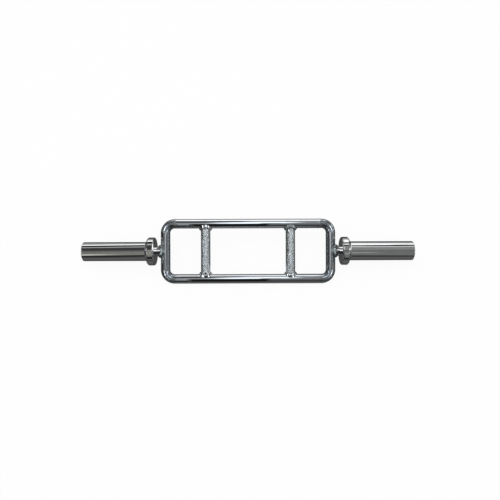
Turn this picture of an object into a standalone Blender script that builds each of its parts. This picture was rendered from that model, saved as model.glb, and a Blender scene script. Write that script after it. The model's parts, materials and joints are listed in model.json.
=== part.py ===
"""Triceps bar: a closed steel frame with two upright grips, and a free-turning plate sleeve at each end.

It lies on a floor as such a bar comes to rest: on both collars and on its lower rail, with the frame leaning
back. Lengths are in metres. +X runs along the bar to the right and +Z is up. The origin is on the floor,
under the middle of the sleeves' common axis.
"""

import math

import bmesh
import bpy
from mathutils import Matrix

# Frame: one bar bent at four corners, closed by a straight upper rail
FRAME_LENGTH = 0.459
FRAME_HEIGHT = 0.170
FRAME_BAR_DIAMETER = 0.025
BEND_RADIUS = 0.024
RAIL_WELD_DEPTH = 0.0025
RAIL_WELD_LAND = 0.001
RAIL_WELD_ROOT = 0.002
RAIL_WELD_CROWN = 0.0004

# Grips
GRIP_DIAMETER = 0.025
GRIP_SPACING = 0.223
GRIP_WELD_LEG = 0.0055
GRIP_WELD_CROWN = 0.002

# Axles
AXLE_DIAMETER = 0.025
AXLE_SHOULDER = 0.0015
AXLE_WELD_LEG = 0.0045
AXLE_WELD_CROWN = 0.003
AXLE_NOSE = 0.004
AXLE_NOSE_CHAMFER = 0.001
COLLAR_STANDOFF = 0.014
WELD_ROUNDING = 0.005

# Collars
COLLAR_DIAMETER = 0.074
COLLAR_WIDTH = 0.020
COLLAR_WEB = 0.004
COLLAR_INNER_CHAMFER = 0.0025
COLLAR_OUTER_CHAMFER = 0.0035
COLLAR_WELD_LEG = 0.0045
COLLAR_WELD_RELIEF = 0.0005
WEB_CLEARANCE = 0.0006

# Sleeves
SLEEVE_DIAMETER = 0.050
SLEEVE_LOADING_LENGTH = 0.1685
SLEEVE_WALL = 0.006
SLEEVE_END_CHAMFER = 0.001
END_SEAT_DEPTH = 0.001
END_LIP = 0.002

# Pieces inside the sleeves
BUSH_LENGTH = 0.030
BUSH_CHAMFER = 0.0008
WASHER_THICKNESS = 0.002
WASHER_RIM_CLEARANCE = 0.002
AXLE_RING_THICKNESS = 0.002
AXLE_RING_HEIGHT = 0.0025
RING_GROOVE_DEPTH = 0.001
END_RING_THICKNESS = 0.0015
END_RING_HEIGHT = 0.003
RING_OPENING = math.radians(50)
END_CAP_THICKNESS = 0.004
END_CAP_DISH_DEPTH = 0.0015
END_CAP_RIM = 0.006
END_CAP_CLEARANCE = 0.005

# Clearances: a gap between pieces that touch or are pressed together, and one between pieces that turn
GAP = 0.0003
RUNNING_CLEARANCE = 0.0001

# Fineness of the round shapes
BAR_BEVEL_RESOLUTION = 10
BAR_SIDES = 4 + 2 * BAR_BEVEL_RESOLUTION
BEND_STEPS = 8
BEAD_STEPS = 32
BEAD_BEVEL_RESOLUTION = 2
OUTER_SEGMENTS = 40
INNER_SEGMENTS = 32
RING_STEPS = 24
MERGE_DISTANCE = 1e-5
SMOOTH_ANGLE = math.radians(35)

# What follows from these sizes
FRAME_BAR_RADIUS = FRAME_BAR_DIAMETER / 2
HALF_LENGTH = FRAME_LENGTH / 2 - FRAME_BAR_RADIUS
HALF_HEIGHT = FRAME_HEIGHT / 2 - FRAME_BAR_RADIUS
GRIP_RADIUS = GRIP_DIAMETER / 2
AXLE_RADIUS = AXLE_DIAMETER / 2
JOURNAL_RADIUS = AXLE_RADIUS - AXLE_SHOULDER
COLLAR_RADIUS = COLLAR_DIAMETER / 2
SLEEVE_RADIUS = SLEEVE_DIAMETER / 2
SLEEVE_BORE_RADIUS = SLEEVE_RADIUS - SLEEVE_WALL
RUNNING_BORE_RADIUS = JOURNAL_RADIUS + RUNNING_CLEARANCE

# Places along the bar, measured outwards from its middle
COLLAR_START = FRAME_LENGTH / 2 + COLLAR_STANDOFF
COLLAR_END = COLLAR_START + COLLAR_WIDTH
SLEEVE_START = COLLAR_START + COLLAR_WEB + GAP
SLEEVE_END = COLLAR_END + SLEEVE_LOADING_LENGTH
END_RING_TOP = SLEEVE_END - END_LIP - GAP
END_RING_BASE = END_RING_TOP - END_RING_THICKNESS
END_CAP_TOP = END_RING_BASE - GAP
END_CAP_BASE = END_CAP_TOP - END_CAP_THICKNESS
END_SEAT = END_CAP_BASE - GAP
AXLE_END = END_SEAT - END_CAP_CLEARANCE
AXLE_RING_TOP = AXLE_END - AXLE_NOSE - GAP
AXLE_RING_BASE = AXLE_RING_TOP - AXLE_RING_THICKNESS
OUTER_WASHER_BASE = AXLE_RING_BASE - GAP - WASHER_THICKNESS
OUTER_BUSH_BASE = OUTER_WASHER_BASE - GAP - BUSH_LENGTH
SHOULDER = COLLAR_START + COLLAR_WEB
INNER_WASHER_BASE = SHOULDER + GAP
INNER_BUSH_BASE = INNER_WASHER_BASE + WASHER_THICKNESS + GAP

# The upper rail's welds, each a short straight land away from where the bend starts
BOW_SHOULDER = HALF_LENGTH - BEND_RADIUS - RAIL_WELD_LAND
BOW_TIP = BOW_SHOULDER - RAIL_WELD_DEPTH
RAIL_SEAM = BOW_TIP - GAP - RAIL_WELD_ROOT / 2
RAIL_TIP = RAIL_SEAM - RAIL_WELD_ROOT / 2 - GAP
TIP_SHARE = (FRAME_BAR_RADIUS - RAIL_WELD_DEPTH) / FRAME_BAR_RADIUS

# The collars stand on a flat of their rims, and the frame leans until its lower rail is as low
AXIS_HEIGHT = COLLAR_RADIUS * math.cos(math.pi / OUTER_SEGMENTS)
LEAN = math.asin((AXIS_HEIGHT - FRAME_BAR_RADIUS) / HALF_HEIGHT)

SIDES = (("left", -1), ("right", 1))


def clear_scene():
    """Remove every object, and the collections that held them."""
    for item in list(bpy.data.objects):
        bpy.data.objects.remove(item, do_unlink=True)
    for group in list(bpy.data.collections):
        bpy.data.collections.remove(group)


def new_collection(name):
    """Make a collection in the scene."""
    group = bpy.data.collections.new(name)
    bpy.context.scene.collection.children.link(group)
    return group


def new_material(name, colour, roughness):
    """Make a metal of one colour and roughness."""
    material = bpy.data.materials.new(name)
    material.use_nodes = True
    shader = material.node_tree.nodes["Principled BSDF"]
    shader.inputs["Base Color"].default_value = (*colour, 1.0)
    shader.inputs["Metallic"].default_value = 1.0
    shader.inputs["Roughness"].default_value = roughness
    material.diffuse_color = (*colour, 1.0)
    return material


def new_empty(name, parent=None, location=(0, 0, 0), rotation=(0, 0, 0)):
    """Make an empty that carries other pieces."""
    empty = bpy.data.objects.new(name, None)
    parts.objects.link(empty)
    empty.parent = parent
    empty.location = location
    empty.rotation_euler = rotation
    return empty


def place(piece, group, parent, location=(0, 0, 0), rotation=(0, 0, 0)):
    """Put a piece in its collection and on its parent."""
    group.objects.link(piece)
    piece.parent = parent
    piece.location = location
    piece.rotation_euler = rotation
    return piece


def settle(piece, material):
    """Replace a piece by its evaluated mesh, welded and shaded, under the same name and parent."""
    bpy.context.view_layer.update()
    evaluated = piece.evaluated_get(bpy.context.evaluated_depsgraph_get())
    mesh = bpy.data.meshes.new_from_object(evaluated)
    edited = bmesh.new()
    edited.from_mesh(mesh)
    bmesh.ops.remove_doubles(edited, verts=edited.verts, dist=MERGE_DISTANCE)
    edited.to_mesh(mesh)
    edited.free()
    mesh.shade_smooth()
    mesh.set_sharp_from_angle(angle=SMOOTH_ANGLE)
    mesh.materials.clear()
    mesh.materials.append(material)
    name = piece.name
    parent = piece.parent
    matrix = piece.matrix_local.copy()
    bpy.data.objects.remove(piece, do_unlink=True)
    mesh.name = name
    solid = bpy.data.objects.new(name, mesh)
    parts.objects.link(solid)
    solid.parent = parent
    solid.matrix_local = matrix
    return solid


def turned(name, profile, segments, parent, material, closed=False, cutter_objects=(), location=(0, 0, 0),
           rotation=(0, 0, 0)):
    """Turn a profile of (radius, height) pairs about local Z, with a flat of the rim towards local X.

    The pairs run down the outer side. A closed profile goes on up the inner side, and makes a ring.
    """
    mesh = bpy.data.meshes.new(name)
    last = len(profile) - 1
    edges = [(i, i + 1) for i in range(last)]
    if closed:
        edges.append((last, 0))
    across = math.cos(math.pi / segments)
    along = math.sin(math.pi / segments)
    mesh.from_pydata([(radius * across, radius * along, height) for radius, height in profile], edges, [])
    piece = bpy.data.objects.new(name, mesh)
    place(piece, parts, parent, location, rotation)
    screw = piece.modifiers.new("turn", "SCREW")
    screw.axis = "Z"
    screw.steps = segments
    screw.render_steps = segments
    screw.use_merge_vertices = True
    screw.merge_threshold = MERGE_DISTANCE
    cut(piece, cutter_objects)
    return settle(piece, material)


def swept(name, points, radii, bar_radius, bevel_resolution, parent, material, cyclic=False, cutter_objects=(),
          location=(0, 0, 0), rotation=(0, 0, 0)):
    """Sweep a round bar along points, each with its share of the bar's radius."""
    curve = bpy.data.curves.new(name, "CURVE")
    curve.dimensions = "3D"
    curve.bevel_depth = bar_radius
    curve.bevel_resolution = bevel_resolution
    curve.use_fill_caps = True
    spline = curve.splines.new("POLY")
    spline.points.add(len(points) - 1)
    for spot, point, radius in zip(spline.points, points, radii):
        spot.co = (*point, 1.0)
        spot.radius = radius
    spline.use_cyclic_u = cyclic
    piece = bpy.data.objects.new(name, curve)
    place(piece, parts, parent, location, rotation)
    solid = settle(piece, material)
    if not cutter_objects:
        return solid
    cut(solid, cutter_objects)
    return settle(solid, material)


def cut(piece, cutter_objects):
    """Take each cutter's shape away from a piece."""
    for cutter in cutter_objects:
        boolean = piece.modifiers.new(cutter.name, "BOOLEAN")
        boolean.operation = "DIFFERENCE"
        boolean.solver = "EXACT"
        boolean.object = cutter


def bar_mesh(name, radius, length):
    """A straight round bar along local Z, about the origin."""
    mesh = bpy.data.meshes.new(name)
    edited = bmesh.new()
    bmesh.ops.create_cone(edited, cap_ends=True, segments=BAR_SIDES, radius1=radius, radius2=radius, depth=length)
    edited.to_mesh(mesh)
    edited.free()
    return mesh


def bar_space(name, radius, length, location, rotation):
    """The room that a bar of the frame takes up, with the gap that a piece welded to it keeps."""
    space = bpy.data.objects.new(name, bar_mesh(name, radius + GAP, length))
    place(space, cutters, frame_lean, location, rotation)
    space.hide_render = True
    space.display_type = "WIRE"
    return space


def frame_spaces():
    """The rooms of the rails, side bars, grips and axles, by name."""
    across = (0, math.pi / 2, 0)
    upright = (math.pi / 2, 0, 0)
    spaces = {}
    for name, side in (("upper", 1), ("lower", -1)):
        spot = (0, side * HALF_HEIGHT, 0)
        spaces[name] = bar_space(f"{name}_rail_space", FRAME_BAR_RADIUS, FRAME_LENGTH, spot, across)
    for name, side in SIDES:
        spot = (side * HALF_LENGTH, 0, 0)
        spaces[f"{name}_side"] = bar_space(f"{name}_side_space", FRAME_BAR_RADIUS, FRAME_HEIGHT, spot, upright)
        spot = (side * GRIP_SPACING / 2, 0, 0)
        spaces[f"{name}_grip"] = bar_space(f"{name}_grip_space", GRIP_RADIUS, FRAME_HEIGHT, spot, upright)
        reach = COLLAR_END - HALF_LENGTH
        spot = (side * (HALF_LENGTH + reach / 2), 0, 0)
        spaces[f"{name}_axle"] = bar_space(f"{name}_axle_space", AXLE_RADIUS, reach, spot, across)
    return spaces


def build_bow():
    """The lower rail, side bars and bends, from one weld of the upper rail round to the other."""
    points = [(-BOW_TIP, HALF_HEIGHT, 0), (-BOW_SHOULDER, HALF_HEIGHT, 0)]
    corners = ((-1, 1), (-1, -1), (1, -1), (1, 1))
    for number, (side_x, side_y) in enumerate(corners):
        centre_x = side_x * (HALF_LENGTH - BEND_RADIUS)
        centre_y = side_y * (HALF_HEIGHT - BEND_RADIUS)
        for step in range(BEND_STEPS + 1):
            angle = (1 + number + step / BEND_STEPS) * math.pi / 2
            x = centre_x + BEND_RADIUS * math.cos(angle)
            y = centre_y + BEND_RADIUS * math.sin(angle)
            points.append((x, y, 0))
    points += [(BOW_SHOULDER, HALF_HEIGHT, 0), (BOW_TIP, HALF_HEIGHT, 0)]
    radii = [TIP_SHARE] + [1.0] * (len(points) - 2) + [TIP_SHARE]
    swept("frame_bow", points, radii, FRAME_BAR_RADIUS, BAR_BEVEL_RESOLUTION, frame_lean, bright_chrome)


def build_upper_rail():
    """The straight bar between the two butt welds, with its ends tapered for them."""
    shoulder = RAIL_TIP - RAIL_WELD_DEPTH
    points = [(x, HALF_HEIGHT, 0) for x in (-RAIL_TIP, -shoulder, shoulder, RAIL_TIP)]
    radii = (TIP_SHARE, 1.0, 1.0, TIP_SHARE)
    swept("upper_rail", points, radii, FRAME_BAR_RADIUS, BAR_BEVEL_RESOLUTION, frame_lean, bright_chrome)


def build_rail_welds():
    """The weld metal between the tapered bar ends, with a low crown."""
    half_root = RAIL_WELD_ROOT / 2
    half_face = half_root + RAIL_WELD_DEPTH
    root_radius = FRAME_BAR_RADIUS - RAIL_WELD_DEPTH
    profile = (
        (0, half_root),
        (root_radius, half_root),
        (FRAME_BAR_RADIUS, half_face),
        (FRAME_BAR_RADIUS + RAIL_WELD_CROWN, half_root),
        (FRAME_BAR_RADIUS + RAIL_WELD_CROWN, -half_root),
        (FRAME_BAR_RADIUS, -half_face),
        (root_radius, -half_root),
        (0, -half_root),
    )
    for name, side in SIDES:
        turned(f"{name}_rail_weld", profile, BAR_SIDES, frame_lean, plated_weld,
               location=(side * RAIL_SEAM, HALF_HEIGHT, 0), rotation=(0, side * math.pi / 2, 0))


def build_grips(spaces):
    """The two upright bars that the hands hold, coped to fit the rails."""
    for name, side in SIDES:
        grip = bpy.data.objects.new(f"{name}_grip", bar_mesh(f"{name}_grip", GRIP_RADIUS, 2 * HALF_HEIGHT))
        spot = (side * GRIP_SPACING / 2, 0, 0)
        place(grip, parts, frame_lean, spot, (math.pi / 2, 0, 0))
        cut(grip, (spaces["upper"], spaces["lower"]))
        settle(grip, knurled_chrome)


def saddle_weld(name, branch_radius, leg, crown, location, angle, cutter_objects):
    """A bead round the end of a bar that runs off sideways from a bar of the frame.

    Before it is turned by the angle, the frame's bar lies along local X and the other leaves it towards -Y.
    The bead's leg is its size at the sides, and its crown its size in front, where the bars lie flush.
    """
    points = []
    radii = []
    for step in range(BEAD_STEPS):
        turn = step / BEAD_STEPS * 2 * math.pi
        depth = min(branch_radius, FRAME_BAR_RADIUS) * math.sin(turn)
        drop = math.sqrt(FRAME_BAR_RADIUS**2 + WELD_ROUNDING**2 - depth**2)
        points.append((branch_radius * math.cos(turn), -drop, branch_radius * math.sin(turn)))
        radii.append((leg + (crown - leg) * math.sin(turn) ** 2) / leg)
    swept(name, points, radii, leg, BEAD_BEVEL_RESOLUTION, frame_lean, plated_weld, cyclic=True,
          cutter_objects=cutter_objects, location=location, rotation=(0, 0, angle))


def build_saddle_welds(spaces):
    """The beads at both ends of each grip, and at the root of each axle."""
    for name, side in SIDES:
        for end, up in (("upper", 1), ("lower", -1)):
            spot = (side * GRIP_SPACING / 2, up * HALF_HEIGHT, 0)
            angle = 0 if up > 0 else math.pi
            cutter_objects = (spaces[end], spaces[f"{name}_grip"])
            weld_name = f"{name}_grip_{end}_weld"
            saddle_weld(weld_name, GRIP_RADIUS, GRIP_WELD_LEG, GRIP_WELD_CROWN, spot, angle, cutter_objects)
        spot = (side * HALF_LENGTH, 0, 0)
        cutter_objects = (spaces[f"{name}_side"], spaces[f"{name}_axle"])
        weld_name = f"{name}_axle_weld"
        saddle_weld(weld_name, AXLE_RADIUS, AXLE_WELD_LEG, AXLE_WELD_CROWN, spot, side * math.pi / 2,
                    cutter_objects)


def build_axles(spaces):
    """The stub axles, coped to fit the side bars, with a shoulder, a journal and a ring groove."""
    groove_radius = JOURNAL_RADIUS - RING_GROOVE_DEPTH
    groove_base = AXLE_RING_BASE - GAP
    groove_top = AXLE_RING_TOP + GAP
    profile = (
        (0, AXLE_END),
        (JOURNAL_RADIUS - AXLE_NOSE_CHAMFER, AXLE_END),
        (JOURNAL_RADIUS, AXLE_END - AXLE_NOSE_CHAMFER),
        (JOURNAL_RADIUS, groove_top),
        (groove_radius, groove_top),
        (groove_radius, groove_base),
        (JOURNAL_RADIUS, groove_base),
        (JOURNAL_RADIUS, SHOULDER),
        (AXLE_RADIUS, SHOULDER),
        (AXLE_RADIUS, HALF_LENGTH),
        (0, HALF_LENGTH),
    )
    for name, side in SIDES:
        turned(f"{name}_axle", profile, INNER_SEGMENTS, frame_lean, turned_steel,
               cutter_objects=(spaces[f"{name}_side"],), rotation=(0, side * math.pi / 2, 0))


def washer_profile(base):
    """A flat washer that runs on the journal, inside the sleeve."""
    rim = SLEEVE_BORE_RADIUS - WASHER_RIM_CLEARANCE
    top = base + WASHER_THICKNESS
    return ((rim, top), (rim, base), (RUNNING_BORE_RADIUS, base), (RUNNING_BORE_RADIUS, top))


def build_axle_fittings():
    """The thrust washers on each journal, and the ring that holds the sleeve on."""
    for name, side in SIDES:
        turn = (0, side * math.pi / 2, 0)
        for end, base in (("inner", INNER_WASHER_BASE), ("outer", OUTER_WASHER_BASE)):
            turned(f"{name}_{end}_thrust_washer", washer_profile(base), INNER_SEGMENTS, frame_lean, washer_steel,
                   closed=True, rotation=turn)
        inner = JOURNAL_RADIUS - RING_GROOVE_DEPTH + GAP
        outer = JOURNAL_RADIUS + AXLE_RING_HEIGHT
        snap_ring(f"{name}_axle_ring", inner, outer, AXLE_RING_BASE, AXLE_RING_TOP, frame_lean, turn)


def snap_ring(name, inner, outer, base, top, parent, rotation=(0, 0, 0)):
    """A split spring ring about local Z."""
    outline = []
    for radius, order in ((outer, range(RING_STEPS + 1)), (inner, range(RING_STEPS, -1, -1))):
        for step in order:
            angle = RING_OPENING / 2 + step / RING_STEPS * (2 * math.pi - RING_OPENING)
            outline.append((radius * math.cos(angle), radius * math.sin(angle), 0))
    curve = bpy.data.curves.new(name, "CURVE")
    curve.dimensions = "2D"
    curve.fill_mode = "BOTH"
    curve.extrude = (top - base) / 2
    spline = curve.splines.new("POLY")
    spline.points.add(len(outline) - 1)
    for spot, point in zip(spline.points, outline):
        spot.co = (*point, 1.0)
    spline.use_cyclic_u = True
    piece = bpy.data.objects.new(name, curve)
    place(piece, parts, parent, rotation=rotation)
    ring = settle(piece, spring_steel)
    ring.data.transform(Matrix.Translation((0, 0, (base + top) / 2)))


def build_collar(name, axis):
    """The stop that plates rest against: a rim, and a web with a hole for the axle.

    The weld to the sleeve lies in a shallow relief, and the plates' flat seat starts at its edge.
    """
    web_bore = AXLE_RADIUS + WEB_CLEARANCE
    sleeve_seat = SLEEVE_RADIUS + GAP
    plate_seat = sleeve_seat + COLLAR_WELD_LEG + GAP
    relief = COLLAR_END - COLLAR_WELD_RELIEF
    profile = (
        (COLLAR_RADIUS - COLLAR_OUTER_CHAMFER, COLLAR_END),
        (COLLAR_RADIUS, COLLAR_END - COLLAR_OUTER_CHAMFER),
        (COLLAR_RADIUS, COLLAR_START + COLLAR_INNER_CHAMFER),
        (COLLAR_RADIUS - COLLAR_INNER_CHAMFER, COLLAR_START),
        (web_bore, COLLAR_START),
        (web_bore, COLLAR_START + COLLAR_WEB),
        (sleeve_seat, COLLAR_START + COLLAR_WEB),
        (sleeve_seat, relief),
        (plate_seat, relief),
        (plate_seat, COLLAR_END),
    )
    turned(f"{name}_collar", profile, OUTER_SEGMENTS, axis, bright_chrome, closed=True)
    base = relief + GAP
    hollow = COLLAR_WELD_LEG / 3
    weld_profile = (
        (sleeve_seat, base + COLLAR_WELD_LEG),
        (sleeve_seat + hollow, base + hollow),
        (sleeve_seat + COLLAR_WELD_LEG, base),
        (sleeve_seat, base),
    )
    turned(f"{name}_collar_weld", weld_profile, OUTER_SEGMENTS, axis, plated_weld, closed=True)


def build_sleeve_tube(name, axis):
    """The tube that plates slide on, with a seat and a ring groove for its end cap."""
    seat_radius = SLEEVE_BORE_RADIUS + END_SEAT_DEPTH
    groove_radius = seat_radius + RING_GROOVE_DEPTH
    profile = (
        (SLEEVE_RADIUS - SLEEVE_END_CHAMFER, SLEEVE_END),
        (SLEEVE_RADIUS, SLEEVE_END - SLEEVE_END_CHAMFER),
        (SLEEVE_RADIUS, SLEEVE_START),
        (SLEEVE_BORE_RADIUS, SLEEVE_START),
        (SLEEVE_BORE_RADIUS, END_SEAT),
        (seat_radius, END_SEAT),
        (seat_radius, END_RING_BASE - GAP),
        (groove_radius, END_RING_BASE - GAP),
        (groove_radius, END_RING_TOP + GAP),
        (seat_radius, END_RING_TOP + GAP),
        (seat_radius, SLEEVE_END),
    )
    turned(f"{name}_sleeve", profile, OUTER_SEGMENTS, axis, bright_chrome, closed=True)


def build_bushes(name, axis):
    """The two bronze bushes that the sleeve turns on."""
    outer = SLEEVE_BORE_RADIUS - GAP
    for end, base in (("inner", INNER_BUSH_BASE), ("outer", OUTER_BUSH_BASE)):
        top = base + BUSH_LENGTH
        profile = (
            (outer, top),
            (outer, base),
            (RUNNING_BORE_RADIUS + BUSH_CHAMFER, base),
            (RUNNING_BORE_RADIUS, base + BUSH_CHAMFER),
            (RUNNING_BORE_RADIUS, top - BUSH_CHAMFER),
            (RUNNING_BORE_RADIUS + BUSH_CHAMFER, top),
        )
        turned(f"{name}_{end}_bush", profile, INNER_SEGMENTS, axis, bronze, closed=True)


def build_end_cap(name, axis):
    """The dished cap in the sleeve's end, and the snap ring that holds it."""
    seat_radius = SLEEVE_BORE_RADIUS + END_SEAT_DEPTH
    rim = seat_radius - GAP
    dish = rim - END_CAP_RIM
    profile = (
        (0, END_CAP_TOP - END_CAP_DISH_DEPTH),
        (dish - END_CAP_DISH_DEPTH, END_CAP_TOP - END_CAP_DISH_DEPTH),
        (dish, END_CAP_TOP),
        (rim, END_CAP_TOP),
        (rim, END_CAP_BASE),
        (0, END_CAP_BASE),
    )
    turned(f"{name}_end_cap", profile, INNER_SEGMENTS, axis, bright_chrome)
    outer = seat_radius + RING_GROOVE_DEPTH - GAP
    snap_ring(f"{name}_end_ring", outer - END_RING_HEIGHT, outer, END_RING_BASE, END_RING_TOP, axis)


def build_sleeves():
    """Everything that turns on each axle, on an empty that lies on the axle's line."""
    for name, side in SIDES:
        axis = new_empty(f"{name}_sleeve_axis", bar_axis, rotation=(0, side * math.pi / 2, 0))
        build_collar(name, axis)
        build_sleeve_tube(name, axis)
        build_bushes(name, axis)
        build_end_cap(name, axis)


clear_scene()
parts = new_collection("triceps_bar")
cutters = new_collection("cutters")
bright_chrome = new_material("bright_chrome", (0.72, 0.73, 0.75), 0.08)
knurled_chrome = new_material("knurled_chrome", (0.62, 0.65, 0.68), 0.28)
plated_weld = new_material("plated_weld", (0.70, 0.71, 0.73), 0.16)
turned_steel = new_material("turned_steel", (0.66, 0.67, 0.69), 0.18)
washer_steel = new_material("washer_steel", (0.55, 0.55, 0.56), 0.35)
spring_steel = new_material("spring_steel", (0.12, 0.12, 0.13), 0.40)
bronze = new_material("bronze", (0.62, 0.42, 0.20), 0.35)
bar_axis = new_empty("bar_axis", location=(0, 0, AXIS_HEIGHT))
frame_lean = new_empty("frame_lean", bar_axis, rotation=(LEAN, 0, 0))
frame_room = frame_spaces()
build_bow()
build_upper_rail()
build_rail_welds()
build_grips(frame_room)
build_saddle_welds(frame_room)
build_axles(frame_room)
build_axle_fittings()
build_sleeves()
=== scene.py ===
"""The finished look of a triceps bar: a bent frame, two knurled grips and two free-turning plate sleeves.

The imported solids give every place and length. The pieces here are their finer skins, in metres, in the same
frame: +X along the bar, +Z up, with the bar lying on its collars and its lower rail.
"""

import json
import logging
import math
from collections.abc import Sequence
from dataclasses import dataclass, field
from enum import Enum

import bmesh
import bpy
from mathutils import Matrix, Vector, noise

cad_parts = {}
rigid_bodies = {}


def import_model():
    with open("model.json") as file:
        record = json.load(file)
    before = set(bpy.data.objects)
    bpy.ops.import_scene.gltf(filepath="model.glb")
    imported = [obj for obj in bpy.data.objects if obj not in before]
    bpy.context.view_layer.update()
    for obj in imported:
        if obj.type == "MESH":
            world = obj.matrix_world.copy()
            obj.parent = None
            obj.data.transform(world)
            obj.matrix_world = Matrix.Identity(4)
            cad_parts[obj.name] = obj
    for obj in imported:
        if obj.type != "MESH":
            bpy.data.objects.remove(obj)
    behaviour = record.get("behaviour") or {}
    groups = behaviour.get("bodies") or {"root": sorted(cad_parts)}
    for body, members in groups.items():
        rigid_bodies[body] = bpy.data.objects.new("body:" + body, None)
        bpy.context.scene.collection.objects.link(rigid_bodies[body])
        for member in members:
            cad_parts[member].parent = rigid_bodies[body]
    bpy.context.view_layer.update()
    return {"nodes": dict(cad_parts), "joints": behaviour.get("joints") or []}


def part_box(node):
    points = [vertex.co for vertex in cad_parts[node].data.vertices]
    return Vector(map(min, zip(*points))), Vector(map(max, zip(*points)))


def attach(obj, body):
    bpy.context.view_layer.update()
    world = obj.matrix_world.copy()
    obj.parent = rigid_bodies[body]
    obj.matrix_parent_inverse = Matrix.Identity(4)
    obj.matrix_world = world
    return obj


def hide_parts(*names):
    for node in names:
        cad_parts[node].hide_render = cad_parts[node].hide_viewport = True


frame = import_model()
LOG = logging.getLogger("triceps_bar")

Point = tuple[float, float, float]
Colour = tuple[float, float, float]
Profile = list[tuple[float, float]]
Faces = list[tuple[int, ...]]
Tree = bpy.types.NodeTree
Node = bpy.types.Node
Socket = bpy.types.NodeSocket
Material = bpy.types.Material

FRAME_BODY = "frame"
VIEW_DISTANCE = 1.28
SMOOTH_ANGLE = math.radians(32)
GAP = 0.0003


class Side(Enum):
    """An end of the bar, with the direction in which it lies along X."""

    LEFT = -1
    RIGHT = 1

    @property
    def label(self) -> str:
        """The word that the names of this end's pieces start with."""
        return self.name.lower()

    @property
    def body(self) -> str:
        """The body that turns on this end's axle."""
        return f"{self.label}_sleeve"


class Slot(Enum):
    """The record's material slots for the pieces made here."""

    BRIGHT_CHROME = "bright_chrome"
    KNURLED_CHROME = "knurled_chrome"
    PLATED_WELD = "plated_weld"
    TURNED_STEEL = "turned_steel"
    SPRING_STEEL = "spring_steel"


@dataclass(frozen=True)
class Places:
    """The bar's main lines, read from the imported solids' boxes."""

    bar_radius: float
    axis_height: float
    lean: float
    half_length: float
    half_height: float
    rail_tip: float
    rail_seam: float
    grip_offset: float

    @classmethod
    def read(cls, bar_radius: float) -> "Places":
        """Work out the places.

        Args:
            bar_radius: The radius of the frame's bar, in metres.

        Returns:
            The places, in metres and radians.
        """
        axis_height = float(frame["joints"][0]["pos_m"][2])
        rail_low, rail_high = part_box("upper_rail")
        rail_y = (rail_low.y + rail_high.y) / 2
        rail_rise = (rail_low.z + rail_high.z) / 2 - axis_height
        weld_low, weld_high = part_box("right_rail_weld")
        grip_low, grip_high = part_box("right_grip")
        return cls(
            bar_radius=bar_radius,
            axis_height=axis_height,
            lean=math.atan2(rail_rise, rail_y),
            half_length=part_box("frame_bow")[1].x - bar_radius,
            half_height=math.hypot(rail_y, rail_rise),
            rail_tip=rail_high.x,
            rail_seam=(weld_low.x + weld_high.x) / 2,
            grip_offset=(grip_low.x + grip_high.x) / 2,
        )

    @property
    def axis(self) -> Matrix:
        """The sleeves' common axis, as the place of what is built about X."""
        return Matrix.Translation((0.0, 0.0, self.axis_height))

    @property
    def frame_plane(self) -> Matrix:
        """The leaning plane of the frame, as the place of what is built in XY."""
        return self.axis @ Matrix.Rotation(self.lean, 4, "X")


def along_bar(node: str) -> tuple[float, float]:
    """How far a solid lies from the bar's middle.

    Args:
        node: The name of a solid on one side of the middle.

    Returns:
        Its nearest and its furthest distance along X, in metres.
    """
    low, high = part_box(node)
    ends = sorted((abs(low.x), abs(high.x)))
    return ends[0], ends[1]


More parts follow.
